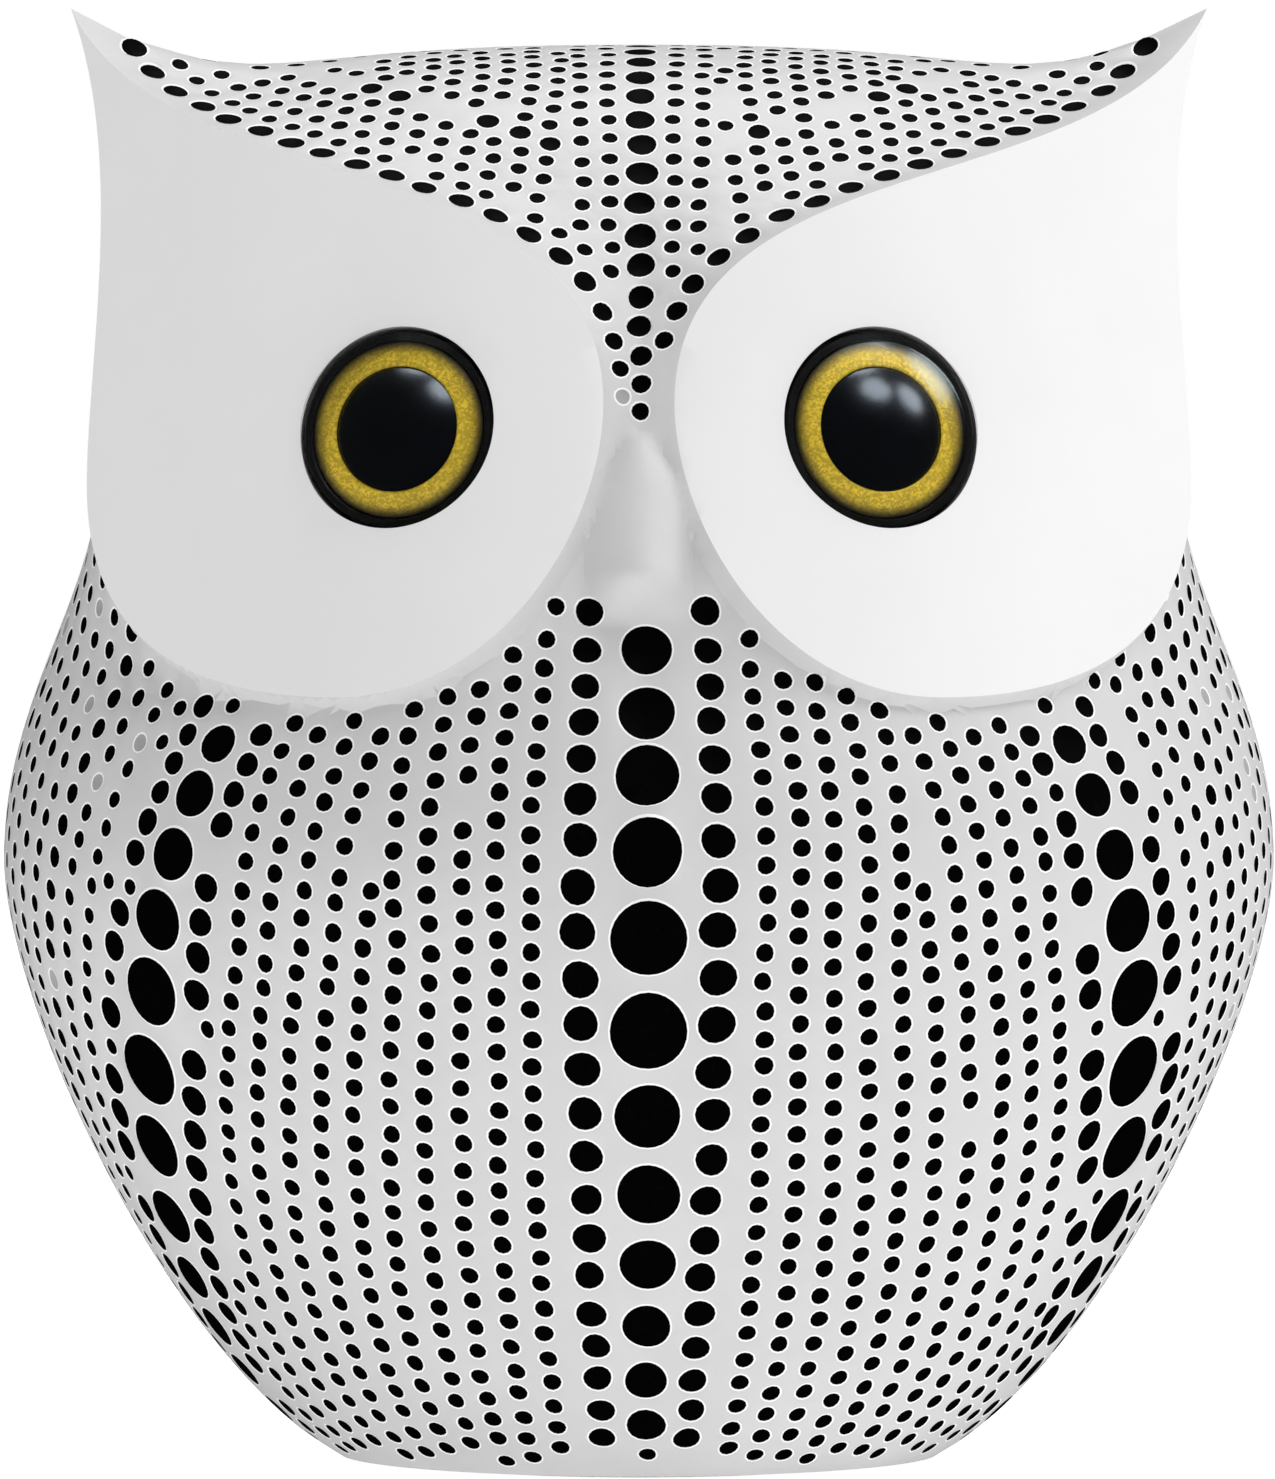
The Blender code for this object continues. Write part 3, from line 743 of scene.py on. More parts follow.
class DotLayer:
    """Collects dots, and turns down any that would crowd the ones already there."""

    def __init__(self, form, settings):
        self.form = form
        self.settings = settings
        self.rng = np.random.default_rng(settings.seed)
        self.points = np.zeros((0, 3))
        self.directions = np.zeros((0, 3))
        self.radii = np.zeros(0)
        self.painted = np.zeros(0, bool)
        self.outlines = [to_map(to_directions(disc_rim(side))) for side in (1.0, -1.0)]

    def allowed(self, directions, points, radii, margin):
        """Which dots lie clear of the discs, the beak and the foot's edge."""
        places = to_map(directions)
        reach = np.linalg.norm(points - HEART, axis=1)
        clear = nearest(directions, self.form.rim)[1] * reach > radii + margin
        for outline in self.outlines:
            clear &= ~inside_outline(places, outline)
        under_beak = points[:, 2] + radii < BEAK_FOOT + UNDER_BEAK
        over_beak = points[:, 2] - radii > BEAK_TOP - OVER_BEAK
        beside_beak = (np.abs(points[:, 0]) > BESIDE_BEAK[0] + radii) & (
            points[:, 2] + radii < BEAK_FOOT + BESIDE_BEAK[1]
        )
        clear &= under_beak | over_beak | beside_beak | (np.abs(points[:, 0]) > BEAK_REGION)
        clear &= points[:, 2] > PAD_PROUD + radii + FOOT_MARGIN
        return clear

    def add(self, directions, radii, gap=DOT_GAP, margin=DISC_MARGIN, jitter=HAND_JITTER):
        """Adds dots one after another, with a little unevenness of hand."""
        if not len(directions):
            return
        radii = np.broadcast_to(radii, len(directions)) * self.rng.uniform(
            *HAND_SIZES, len(directions)
        )
        points = self.form.coat(directions)
        points = points + self.rng.normal(0.0, jitter, points.shape)
        directions = to_directions(points)
        points = self.form.coat(directions)
        clear = self.allowed(directions, points, radii, margin)
        for point, direction, radius in zip(points[clear], directions[clear], radii[clear]):
            apart = np.linalg.norm(self.points - point, axis=1)
            if len(apart) and np.any(apart < self.radii + radius + gap):
                continue
            self.points = np.vstack((self.points, point))
            self.directions = np.vstack((self.directions, direction))
            self.radii = np.append(self.radii, radius)

    def along(self, directions, radius, spacing, phase=0.0, **rest):
        """Walks a line of directions and adds dots whose edges stay a gap apart.

        The radius is a number or a function of height. Phase shifts the first dot by a share."""
        points = self.form.coat(directions)
        run = np.concatenate(((0.0,), np.cumsum(np.linalg.norm(np.diff(points, axis=0), axis=1))))
        at = []
        sizes = []
        here = phase
        while here < run[-1]:
            height = np.interp(here, run, points[:, 2])
            size = float(radius(height)) if callable(radius) else radius
            at.append(here)
            sizes.append(size)
            here += 2 * size + spacing
        if not at:
            return
        chosen = np.column_stack([np.interp(at, run, directions[:, axis]) for axis in range(3)])
        chosen /= np.linalg.norm(chosen, axis=1)[:, None]
        self.add(chosen, np.array(sizes), **rest)


def breast_dots(layer):
    """The column of big dots down the breast, and a medium column on each side of it."""
    settings = layer.settings
    heights = np.linspace(*BREAST_HEIGHTS, BREAST_STEPS) * MM
    flat = np.zeros(BREAST_STEPS)
    big = swelling((0.0, 38 * MM, 62 * MM), (1.4 * MM, settings.centre_radius, 1.75 * MM))
    medium = swelling((0.0, 36 * MM, 60 * MM), (0.95 * MM, 1.3 * MM, 1.0 * MM))
    low = heights < BREAST_TOP
    middle = around(flat[low] + settings.turn, heights[low], layer.form.profiles)
    layer.along(middle, big, BREAST_SPACING)
    for side in SIDES:
        line = around(flat + settings.turn + side * BREAST_BESIDE, heights, layer.form.profiles)
        layer.along(line, medium, 0.75 * MM, phase=0.4 * MM)


def wing_line(layer, side, offset, top=56 * MM):
    """A line beside a wing's big dots, offset towards the back by an angle at the top.

    Lines draw together as they near the foot."""
    heights = np.linspace(top, WING_FOOT, LINE_STEPS)
    drawn = 1.0 + WING_SPREAD * ramp(heights, 40 * MM, 5 * MM)
    azimuth = wing_azimuth(heights) + offset * drawn
    turn = layer.settings.turn * np.cos(azimuth)
    return around(side * azimuth + turn, heights, layer.form.profiles), azimuth


def wing_dots(layer):
    """Each wing's line of big dots, with a medium line on either side."""
    settings = layer.settings
    profiles = layer.form.profiles
    big = swelling((2 * MM, 29.5 * MM, 58 * MM), (1.35 * MM, settings.wing_radius, 1.3 * MM))
    medium = swelling((0.0, 28 * MM, 56 * MM), (0.85 * MM, 1.2 * MM, 0.85 * MM))
    for side in SIDES:
        line = wing_line(layer, side, 0.0)[0]
        layer.along(line, big, WING_SPACING)
        for towards in SIDES:
            heights = np.linspace(56.0, 1.0, LINE_STEPS) * MM
            azimuth = wing_azimuth(heights)
            reach = np.interp(heights, profiles[0][:, 1], profiles[0][:, 0])
            apart = (big(heights) + medium(heights) + WING_BESIDE) / reach
            turn = settings.turn * np.cos(azimuth)
            line = around(side * (azimuth + towards * apart) + turn, heights, profiles)
            layer.along(line, medium, 0.5 * MM, phase=1.0 * MM)


def breast_columns(layer):
    """The small columns between the breast and the wings. The outer ones lean in above the belly."""
    settings = layer.settings
    heights = np.linspace(*COLUMN_HEIGHTS, COLUMN_STEPS) * MM
    gap = settings.pitch - 2 * settings.small_radius
    down = np.clip((COLUMN_BELLY - heights) / (32 * MM), 0.0, None)
    up = np.clip((heights - COLUMN_BELLY) / (16 * MM), 0.0, None)
    for column in range(BREAST_COLUMNS):
        for side in SIDES:
            azimuth = COLUMN_START + COLUMN_STEP * column + (2.2 + 1.6 * column) * down
            if column > STRAIGHT_COLUMNS:
                azimuth = azimuth - COLUMN_LEAN * up
            turn = settings.turn * np.cos(np.radians(azimuth))
            line = around(side * np.radians(azimuth) + turn, heights, layer.form.profiles)
            phase = (0.5 * (column % 2)) * settings.pitch
            layer.along(line, settings.small_radius, gap, phase=phase)


def side_columns(layer):
    """Small columns behind each wing's medium line, round to the middle of the back."""
    settings = layer.settings
    small = REAR_SHRINK * settings.small_radius
    pitch = SIDE_STRETCH * settings.pitch
    for column in range(SIDE_COLUMNS):
        for side in SIDES:
            offset = SIDE_START + SIDE_STEP * column
            line, azimuth = wing_line(layer, side, offset, top=64 * MM)
            keep = azimuth < SIDE_END
            if np.count_nonzero(keep) < 2:
                continue
            radius = ACCENT_GROWTH * small if column % 5 == 2 else small
            phase = (0.5 * (column % 2)) * pitch
            layer.along(line[keep], radius, pitch - 2 * small, phase=phase)


def crown_line(across, length, turn):
    """A line straight up the forehead and over the crown, a distance to one side of the middle."""
    slants = np.linspace(CROWN_START, CROWN_START + length, CROWN_STEPS)
    points = np.column_stack(
        (
            np.full(CROWN_STEPS, across),
            TYPICAL_REACH * np.sin(slants),
            HEART_HEIGHT + TYPICAL_REACH * np.cos(slants),
        )
    )
    points[:, 0] += turn
    return to_directions(points)


def edge_line(side, offset):
    """The line that follows a disc's upper edge from the beak to the ear, an offset outside it."""
    outline = disc_outline()[: 2 * OUTLINE_STEPS + 1][::-1]
    points = on_disc(outline) * np.array((side, 1.0, 1.0))
    directions = to_directions(points)
    along = np.gradient(directions, axis=0)
    outwards = np.cross(directions, along)
    outwards /= np.linalg.norm(outwards, axis=1)[:, None]
    outwards *= math.copysign(1.0, outwards[:, 2].sum())
    drawn_in = EDGE_DRAWN_IN * (1.0 - ramp(points[:, 2], 78 * MM, 90 * MM))
    angle = ((offset - drawn_in) / np.linalg.norm(points - HEART, axis=1))[:, None]
    return directions * np.cos(angle) + outwards * np.sin(angle)


def crown_dots(layer):
    """The forehead and crown: a middle column, straight columns beside it, a medium row along
    each disc's upper edge, and rows that fan out between them."""
    settings = layer.settings
    small = CROWN_SHRINK * settings.small_radius
    middle = swelling((74 * MM, 90 * MM, 104 * MM), (0.64 * MM, 1.12 * MM, 1.1 * MM))
    edge = swelling((74 * MM, 90 * MM, 104 * MM), (0.5 * MM, 0.95 * MM, 0.95 * MM))
    accent = swelling((84 * MM, 96 * MM, 120 * MM), (small, 0.82 * MM, 0.82 * MM))
    layer.along(crown_line(0.0, math.radians(160.0), CROWN_SHIFT), middle, 0.72 * MM)
    for side in SIDES:
        layer.along(
            edge_line(side, EDGE_OFFSET), edge, 1.0 * MM,
            margin=0.32 * MM, gap=0.38 * MM, phase=0.6 * MM,
        )
    for across in STRAIGHT_LINES:
        for side in SIDES:
            line = crown_line(side * across, math.radians(150.0), CROWN_SHIFT)
            layer.along(line, small, 1.0 * MM, gap=0.38 * MM, margin=0.5 * MM)
    for row in range(1, FAN_ROWS):
        radius = accent if row == ACCENT_ROW else small
        for side in SIDES:
            line = edge_line(side, (1.95 + 1.98 * row) * MM)
            phase = 0.5 * (row % 2) * settings.pitch
            layer.along(line, radius, 0.9 * MM, phase=phase, gap=0.45 * MM, margin=0.5 * MM)


def back_rows(layer):
    """Level rows that fill whatever is left: the back of the head and the nape."""
    settings = layer.settings
    small = REAR_SHRINK * settings.small_radius
    for row in range(BACK_ROWS):
        slant = BACK_START + BACK_STEP * row
        ring = 44 * MM * math.sin(slant)
        count = max(4, round(math.tau * ring / BACK_SPACING))
        turns = round_turns(count, 0.5 * (row % 2))
        directions = level_directions(slant, turns) * np.array((1.0, -1.0, 1.0))
        layer.add(directions, small, gap=0.62 * MM, jitter=0.05 * MM)


def fill_gaps(layer):
    """Small dots wherever the lines have left a bare patch."""
    layer.add(scattered(FILL_SPACING, TYPICAL_REACH), FILL_RADIUS, gap=FILL_GAP, jitter=0.0)


def choose_painted(layer):
    """Which dots are painted: the brush missed a few beside the beak and along the flanks."""
    sideways = np.abs(layer.directions[:, 0]) > FLANK
    chance = layer.rng.uniform(0.0, 1.0, len(layer.radii))
    beside_beak = (
        (layer.directions[:, 1] < 0)
        & (np.abs(layer.points[:, 2] - BARE_HEIGHT) < BARE_REACH)
        & (layer.radii < BARE_RADIUS)
        & (np.abs(layer.points[:, 0]) > BARE_ACROSS[0])
        & (np.abs(layer.points[:, 0]) < BARE_ACROSS[1])
    )
    on_flank = sideways & (chance < MISSED_SHARE) & (layer.radii < MISSED_RADIUS)
    missed = on_flank | beside_beak
    return ~missed


def place_dots(form, settings):
    """Every dot of the coat, the named lines first and the filling last."""
    layer = DotLayer(form, settings)
    breast_dots(layer)
    wing_dots(layer)
    breast_columns(layer)
    crown_dots(layer)
    side_columns(layer)
    back_rows(layer)
    fill_gaps(layer)
    layer.painted = choose_painted(layer)
    return layer


# ---------------------------------------------------------------- the casting's mesh


class Shell:
    """Gathers the casting's vertices and triangles, each triangle with its finish."""

    # The INSIDE slot's finish is raw resin darkened as painted shade.
    # The LIP slot's finish is a painted highlight: a bright rim round each dot.
    COAT, FACE, LIP, PAINT, INSIDE = range(5)

    def __init__(self):
        self.vertices = []
        self.count = 0
        self.triangles = []
        self.finishes = []

    def add_points(self, points):
        """Adds vertices and gives their indices."""
        self.vertices.append(np.asarray(points, float))
        start = self.count
        self.count += len(points)
        return np.arange(start, self.count)

    def add_triangles(self, triangles, finish):
        """Adds triangles of one finish."""
        triangles = np.asarray(triangles).reshape(-1, 3)
        self.triangles.append(triangles)
        self.finishes.append(np.broadcast_to(finish, len(triangles)))

    def band(self, outer, inner, finish):
        """Joins two closed rings of equal length."""
        outer_next = np.roll(outer, -1)
        inner_next = np.roll(inner, -1)
        self.add_triangles(np.column_stack((outer, outer_next, inner_next)), finish)
        self.add_triangles(np.column_stack((outer, inner_next, inner)), finish)

    def fan(self, ring, centre, finish):
        """Closes a ring onto one vertex."""
        self.add_triangles(
            np.column_stack((ring, np.roll(ring, -1), np.full(len(ring), centre))), finish
        )


def surface_normals(form, directions):
    """Outward normals of the coat in each direction."""
    step = NORMAL_STEP
    upright = np.array((0.0, 0.0, 1.0))
    along = np.cross(upright, directions)
    along /= np.linalg.norm(along, axis=1)[:, None] + 1e-12
    across = np.cross(directions, along)
    ahead = form.coat(to_directions(HEART + directions + step * along))
    behind = form.coat(to_directions(HEART + directions - step * along))
    above = form.coat(to_directions(HEART + directions + step * across))
    below = form.coat(to_directions(HEART + directions - step * across))
    normals = np.cross(ahead - behind, above - below)
    normals /= np.linalg.norm(normals, axis=1)[:, None]
    return normals


def dot_steps(radius, direction):
    """How many corners a dot's outline has: more for big dots and on the front."""
    big, medium, small, rear = DOT_CORNERS
    if radius > BIG_DOT:
        return big
    if radius > MEDIUM_DOT:
        return medium
    return small if direction[1] < REAR_START else rear


def dot_rings(form, layer):
    """Outline directions of every dot: where its lip starts, and where its paint starts."""
    normals = surface_normals(form, layer.directions)
    outer = []
    inner = []
    owner = []
    for index, (point, normal, radius) in enumerate(zip(layer.points, normals, layer.radii)):
        side = np.cross((0.0, 0.0, 1.0), normal)
        side /= np.linalg.norm(side)
        up = np.cross(normal, side)
        count = dot_steps(radius, layer.directions[index])
        turns = round_turns(count)
        waves = layer.rng.uniform(0.0, math.tau, 2)
        swing = min(1.0, UNEVEN_RADIUS / radius)
        uneven = 1.0 + swing * (
            UNEVEN_TWICE * np.sin(2 * turns + waves[0])
            + UNEVEN_THRICE * np.sin(3 * turns + waves[1])
        )
        circle = np.cos(turns)[:, None] * side + np.sin(turns)[:, None] * up
        reach = radius * uneven[:, None]
        outer.append(to_directions(point + circle * (reach + layer.settings.lip)))
        inner.append(to_directions(point + circle * reach))
        owner.append(np.full(count, index))
    return outer, inner, np.concatenate(owner), normals


def eye_place(side):
    """Matrix of an eye: its origin on the face disc, its Z out along the eye's axis."""
    middle = np.array(((side * EYE_SPREAD, 0.0, EYE_HEIGHT),))
    depth = float(disc_depth(middle)[0])
    turn = Matrix.Rotation(side * EYE_YAW, 4, "Z") @ Matrix.Rotation(math.pi / 2 - EYE_PITCH, 4, "X")
    return Matrix.Translation((side * EYE_SPREAD, depth, EYE_HEIGHT)) @ turn


def placed(place, turns, heights):
    """Points of the socket's wall, at heights along the eye's axis."""
    radius = EYE_RADIUS + CLEARANCE
    local = np.column_stack(
        (radius * np.cos(turns), radius * np.sin(turns), heights, np.ones(len(turns)))
    )
    return (local @ place.T)[:, :3]


def socket_ring(side):
    """Where an eye's round socket breaks through the face disc, and its floor."""
    place = np.array(eye_place(side))
    turns = round_turns(ROUND_STEPS)
    floor = np.full(ROUND_STEPS, -SOCKET_DEPTH)
    low = floor
    high = np.full(ROUND_STEPS, SOCKET_DEPTH)
    for _ in range(RAY_HALVINGS):
        middle = (low + high) / 2
        points = placed(place, turns, middle)
        outside = points[:, 1] < disc_depth(points)
        high = np.where(outside, middle, high)
        low = np.where(outside, low, middle)
    return points, placed(place, turns, floor)


def scattered(spacing, reach):
    """Directions spread over the whole figure, a spacing apart at this reach."""
    lowest = math.pi - math.atan2(FOOT_HALF_WIDTH, HEART_HEIGHT - PAD_PROUD)
    rings = round(lowest * reach / spacing)
    directions = [np.array(((0.0, 0.0, 1.0),))]
    for ring in range(1, rings):
        slant = lowest * ring / rings
        count = max(6, round(math.tau * math.sin(slant) * reach / spacing))
        directions.append(level_directions(slant, round_turns(count, 0.5 * (ring % 2))))
    return np.concatenate(directions)


def beak_grid():
    """Directions of a fine grid over the beak."""
    spacing = BEAK_SPACING
    across = np.arange(-BEAK_COLUMNS, BEAK_COLUMNS + 1) * spacing
    heights = np.arange(BEAK_FOOT - 2 * spacing, BEAK_TOP + 3 * spacing, spacing)
    grid_x, grid_z = np.meshgrid(across, heights)
    points = np.column_stack(
        (grid_x.ravel(), np.full(grid_x.size, -THROAT_FRONT), grid_z.ravel())
    )
    return to_directions(points)


def fixed_loops(dot_outer):
    """Closed loops that the skin has to follow: rims, eye sockets, the foot and the dots' lips.

    Also gives the loose points of the fillets beside the rims, and the sockets' floors."""
    rims = []
    fillets = []
    sockets = []
    for side in (1.0, -1.0):
        rims.append(to_directions(disc_rim(side)))
        for share in FILLET_SHARES:
            fillets.append(to_directions(disc_rim(side, share * LIP_BAND, every=2)))
        sockets.append(socket_ring(side))
    foot = level_loop(FOOT_HALF_WIDTH, FOOT_DEPTH, PAD_PROUD)
    holes = [to_directions(ring) for ring, _ in sockets]
    loops = rims + holes + [to_directions(foot)] + dot_outer
    return loops, rims, fillets, sockets


def loose_points(loops, fillets, sockets, layer):
    """Directions of the skin's other points, kept clear of the loops, the dots and the sockets."""
    loose = np.concatenate((scattered(SKIN_SPACING, TYPICAL_REACH), beak_grid()))
    taken = nearest(loose, np.concatenate((*loops, layer.directions)))[1]
    loose = np.concatenate((loose[taken > LOOP_MARGIN / TYPICAL_REACH], *fillets))
    index, angle = nearest(loose, layer.directions)
    reach = layer.radii[index] + LIP_MARGIN * layer.settings.lip
    loose = loose[angle * SHORT_REACH > reach * DOT_MARGIN]
    for ring, _ in sockets:
        loose = loose[~inside_outline(to_map(loose), to_map(to_directions(ring)))]
    return loose


def mesh_map(loops, loose):
    """Triangulates the map. Gives places, triangles and which given point each place came from."""
    edges = []
    start = 0
    for loop in loops:
        count = len(loop)
        edges += [(start + step, start + (step + 1) % count) for step in range(count)]
        start += count
    given = to_map(np.concatenate((*loops, loose))).tolist()
    found = delaunay_2d_cdt([Vector(place) for place in given], edges, [], 0, MAP_TOLERANCE)
    places = np.array([tuple(place) for place in found[0]])
    sources = np.array([origin[0] if origin else -1 for origin in found[3]])
    return places, np.array(found[2]), sources


def in_any(places, rims):
    """Which places of the map lie on a face disc."""
    inside = np.zeros(len(places), bool)
    for rim in rims:
        inside |= inside_outline(places, to_map(rim))
    return inside


def outside_shell(shell, form, layer):
    """The outside skin: coat, discs and dots. Gives the rings that stay open."""
    dot_outer, dot_inner, owner, normals = dot_rings(form, layer)
    loops, rims, fillets, sockets = fixed_loops(dot_outer)
    loose = loose_points(loops, fillets, sockets, layer)
    places, triangles, sources = mesh_map(loops, loose)
    rim_count = sum(len(loop) for loop in rims)
    fixed_count = sum(len(loop) for loop in loops)
    before_dots = fixed_count - sum(len(loop) for loop in dot_outer)

    directions = from_map(places)
    on_face = (sources >= 0) & (sources < rim_count) | in_any(places, rims)
    points = form.coat(directions)
    points[on_face] = form.discs(directions[on_face])
    indices = shell.add_points(points)

    group = np.full(len(places), -1)
    is_dot = (sources >= before_dots) & (sources < fixed_count)
    group[is_dot] = owner[sources[is_dot] - before_dots]
    at = {source: index for index, source in enumerate(sources) if source >= 0}
    open_rings = []
    start = rim_count
    for ring in loops[len(rims) : len(rims) + len(sockets) + 1]:
        open_rings.append(np.array([at[start + step] for step in range(len(ring))]))
        start += len(ring)
    for number, ring in enumerate(open_rings[:-1]):
        group[ring] = -2 - number

    corner = group[triangles]
    hole = (corner[:, 0] == corner[:, 1]) & (corner[:, 1] == corner[:, 2]) & (corner[:, 0] != -1)
    triangles = triangles[~hole]
    in_face = in_any(places[triangles].mean(axis=1), rims)
    shell.add_triangles(indices[triangles], np.where(in_face, Shell.FACE, Shell.COAT))
    for index, ring in enumerate(dot_inner):
        outer = np.array([at[before_dots + step] for step in range(len(ring))])
        before_dots += len(ring)
        add_dimple(shell, layer, index, outer, ring, normals[index])
    return open_rings[:-1], open_rings[-1], sockets


def add_dimple(shell, layer, index, outer, ring, normal):
    """One dot: a lip coloured as a painted highlight, and a painted hollow inside it."""
    point = layer.points[index]
    edge = on_dot_plane(ring, point, normal)
    inner = shell.add_points(edge - normal * LIP_DEPTH)
    depth = min(DIMPLE_SHARE * layer.radii[index], DIMPLE_DEPTH)
    centre = shell.add_points((point - normal * depth,))
    shell.band(outer, inner, Shell.LIP)
    # Dots the brush missed take the raw resin finish, whose darkness is painted shade in the hollow.
    shell.fan(inner, centre[0], Shell.PAINT if layer.painted[index] else Shell.INSIDE)


def on_dot_plane(ring, point, normal):
    """Points where a dot's inner outline crosses the plane that touches the coat at the dot."""
    reach = ((point - HEART) @ normal) / (ring @ normal)
    return HEART + ring * reach[:, None]


def inside_shell(shell, foot_loop):
    """The underside, the stepped base opening and the hollow core."""
    rings = [foot_loop]
    core_floor = PAD_PROUD + WALL
    for radius, height in (
        (PAD_RADIUS, PAD_PROUD),
        (PAD_RADIUS, PAD_SEAT),
        (OPENING_RADIUS + PLUG_LIP, PAD_SEAT),
        (OPENING_RADIUS + PLUG_LIP, PLUG_SEAT),
        (OPENING_RADIUS, PLUG_SEAT),
        (OPENING_RADIUS, core_floor),
    ):
        rings.append(shell.add_points(level_loop(radius, radius, height)))
    profiles = body_profiles(WALL, FACE_WALL)
    lowest = math.atan2(FOOT_HALF_WIDTH - WALL, core_floor - HEART_HEIGHT)
    for row in range(CORE_ROWS):
        slant = lowest * (1.0 - row / CORE_ROWS)
        directions = level_directions(slant, round_turns(ROUND_STEPS))
        reach = march(directions, lambda at: body_distance(at, profiles) > 1.0)
        rings.append(shell.add_points(HEART + directions * reach[:, None]))
    for outer, inner in zip(rings, rings[1:]):
        shell.band(outer, inner, Shell.INSIDE)
    top = shell.add_points(((0.0, 0.0, CROWN_HEIGHT - WALL),))
    shell.fan(rings[-1], top[0], Shell.INSIDE)


def socket_shells(shell, loops, sockets):
    """The walls and floors of the eye sockets."""
    for loop, (_, floor) in zip(loops, sockets):
        base = shell.add_points(floor)
        centre = shell.add_points((floor.mean(axis=0),))
        # The sockets' walls take the raw resin finish, darkened as painted shade in the recess.
        shell.band(loop, base, Shell.INSIDE)
        shell.fan(base, centre[0], Shell.INSIDE)


def fit_box(points, node):
    """Points scaled by a hair about their middle, so that they fill the CAD node's own box."""
    low, high = (np.array(corner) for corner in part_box(node))
    lowest = points.min(axis=0)
    highest = points.max(axis=0)
    share = np.minimum((high - low) / (highest - lowest), 1.0)
    middle = (lowest + highest) / 2
    target = (low + high) / 2
    middle[2] = lowest[2]
    target[2] = low[2]
    return target + (points - middle) * share


def build_casting(settings):
    """The casting as one closed mesh."""
    form = Form()
    layer = place_dots(form, settings)
    shell = Shell()
    socket_loops, foot_loop, sockets = outside_shell(shell, form, layer)
    socket_shells(shell, socket_loops, sockets)
    inside_shell(shell, foot_loop)
    points = fit_box(np.concatenate(shell.vertices), "body_casting")
    triangles = np.concatenate(shell.triangles)
    finishes = np.concatenate(shell.finishes)
    mesh = bpy.data.meshes.new("owl_casting")
    mesh.vertices.add(len(points))
    mesh.vertices.foreach_set("co", points.astype(np.float32).ravel())
    mesh.loops.add(3 * len(triangles))
    mesh.loops.foreach_set("vertex_index", triangles.astype(np.int32).ravel())
    mesh.polygons.add(len(triangles))
    mesh.polygons.foreach_set("loop_start", np.arange(0, 3 * len(triangles), 3, dtype=np.int32))
    mesh.update(calc_edges=True)
    mesh.polygons.foreach_set("material_index", finishes.astype(np.int32))
    mesh.validate()
    turn_outwards(mesh)
    mesh.shade_smooth()
    mesh.set_sharp_from_angle(angle=CASTING_SHARP)
    return mesh


def turn_outwards(mesh):
    """Turns every face to point out of the closed body."""
    work = bmesh.new()
    work.from_mesh(mesh)
    bmesh.ops.recalc_face_normals(work, faces=work.faces)
    open_edges = sum(1 for edge in work.edges if len(edge.link_faces) != 2)
    work.to_mesh(mesh)
    work.free()
    if open_edges:
        raise RuntimeError(f"the casting has {open_edges} open edges")


# ---------------------------------------------------------------- finishes


class Wire:
    """A shader socket that can be used in a Python expression."""

    def __init__(self, nodes, socket):
        self.nodes = nodes
        self.socket = socket

    def math(self, operation, *values):
        """Adds one Math node."""
        return self.nodes.node("ShaderNodeMath", {"operation": operation}, dict(enumerate(values)))

    def __add__(self, other):
        return self.math("ADD", self, other)

    def __radd__(self, other):
        return self.math("ADD", other, self)

    def __sub__(self, other):
        return self.math("SUBTRACT", self, other)

    def __rsub__(self, other):
        return self.math("SUBTRACT", other, self)

    def __mul__(self, other):
        return self.math("MULTIPLY", self, other)

    def __rmul__(self, other):
        return self.math("MULTIPLY", other, self)

    def __pow__(self, other):
        return self.math("POWER", self, other)

    def __rpow__(self, other):
        return self.math("POWER", other, self)

    def part(self, name):
        """Another output of the same node."""
        return Wire(self.nodes, self.socket.node.outputs[name])

    def smooth(self, low, high):
        """0 below low, 1 above high and smooth between."""
        return self.nodes.node(
            "ShaderNodeMapRange",
            {"interpolation_type": "SMOOTHSTEP"},
            {"Value": self, "From Min": low, "From Max": high, "To Min": 0.0, "To Max": 1.0},
            "Result",
        )


class Nodes:
    """A node tree under construction."""

    def __init__(self, tree):
        self.tree = tree

    def node(self, kind, settings=None, inputs=None, out=0):
        """Adds a node: its settings first, then its sockets' values or links. Gives one output."""
        made = self.tree.nodes.new(kind)
        for key, value in (settings or {}).items():
            setattr(made, key, value)
        for key, value in (inputs or {}).items():
            self.feed(made.inputs[key], value)
        return Wire(self, made.outputs[out])

    def feed(self, socket, value):
        """Links a wire to a socket, or sets its plain value."""
        if isinstance(value, Wire):
            self.tree.links.new(value.socket, socket)
        elif isinstance(value, (tuple, list)) and socket.type == "RGBA":
            socket.default_value = (*value[:3], 1.0)
        else:
            socket.default_value = value


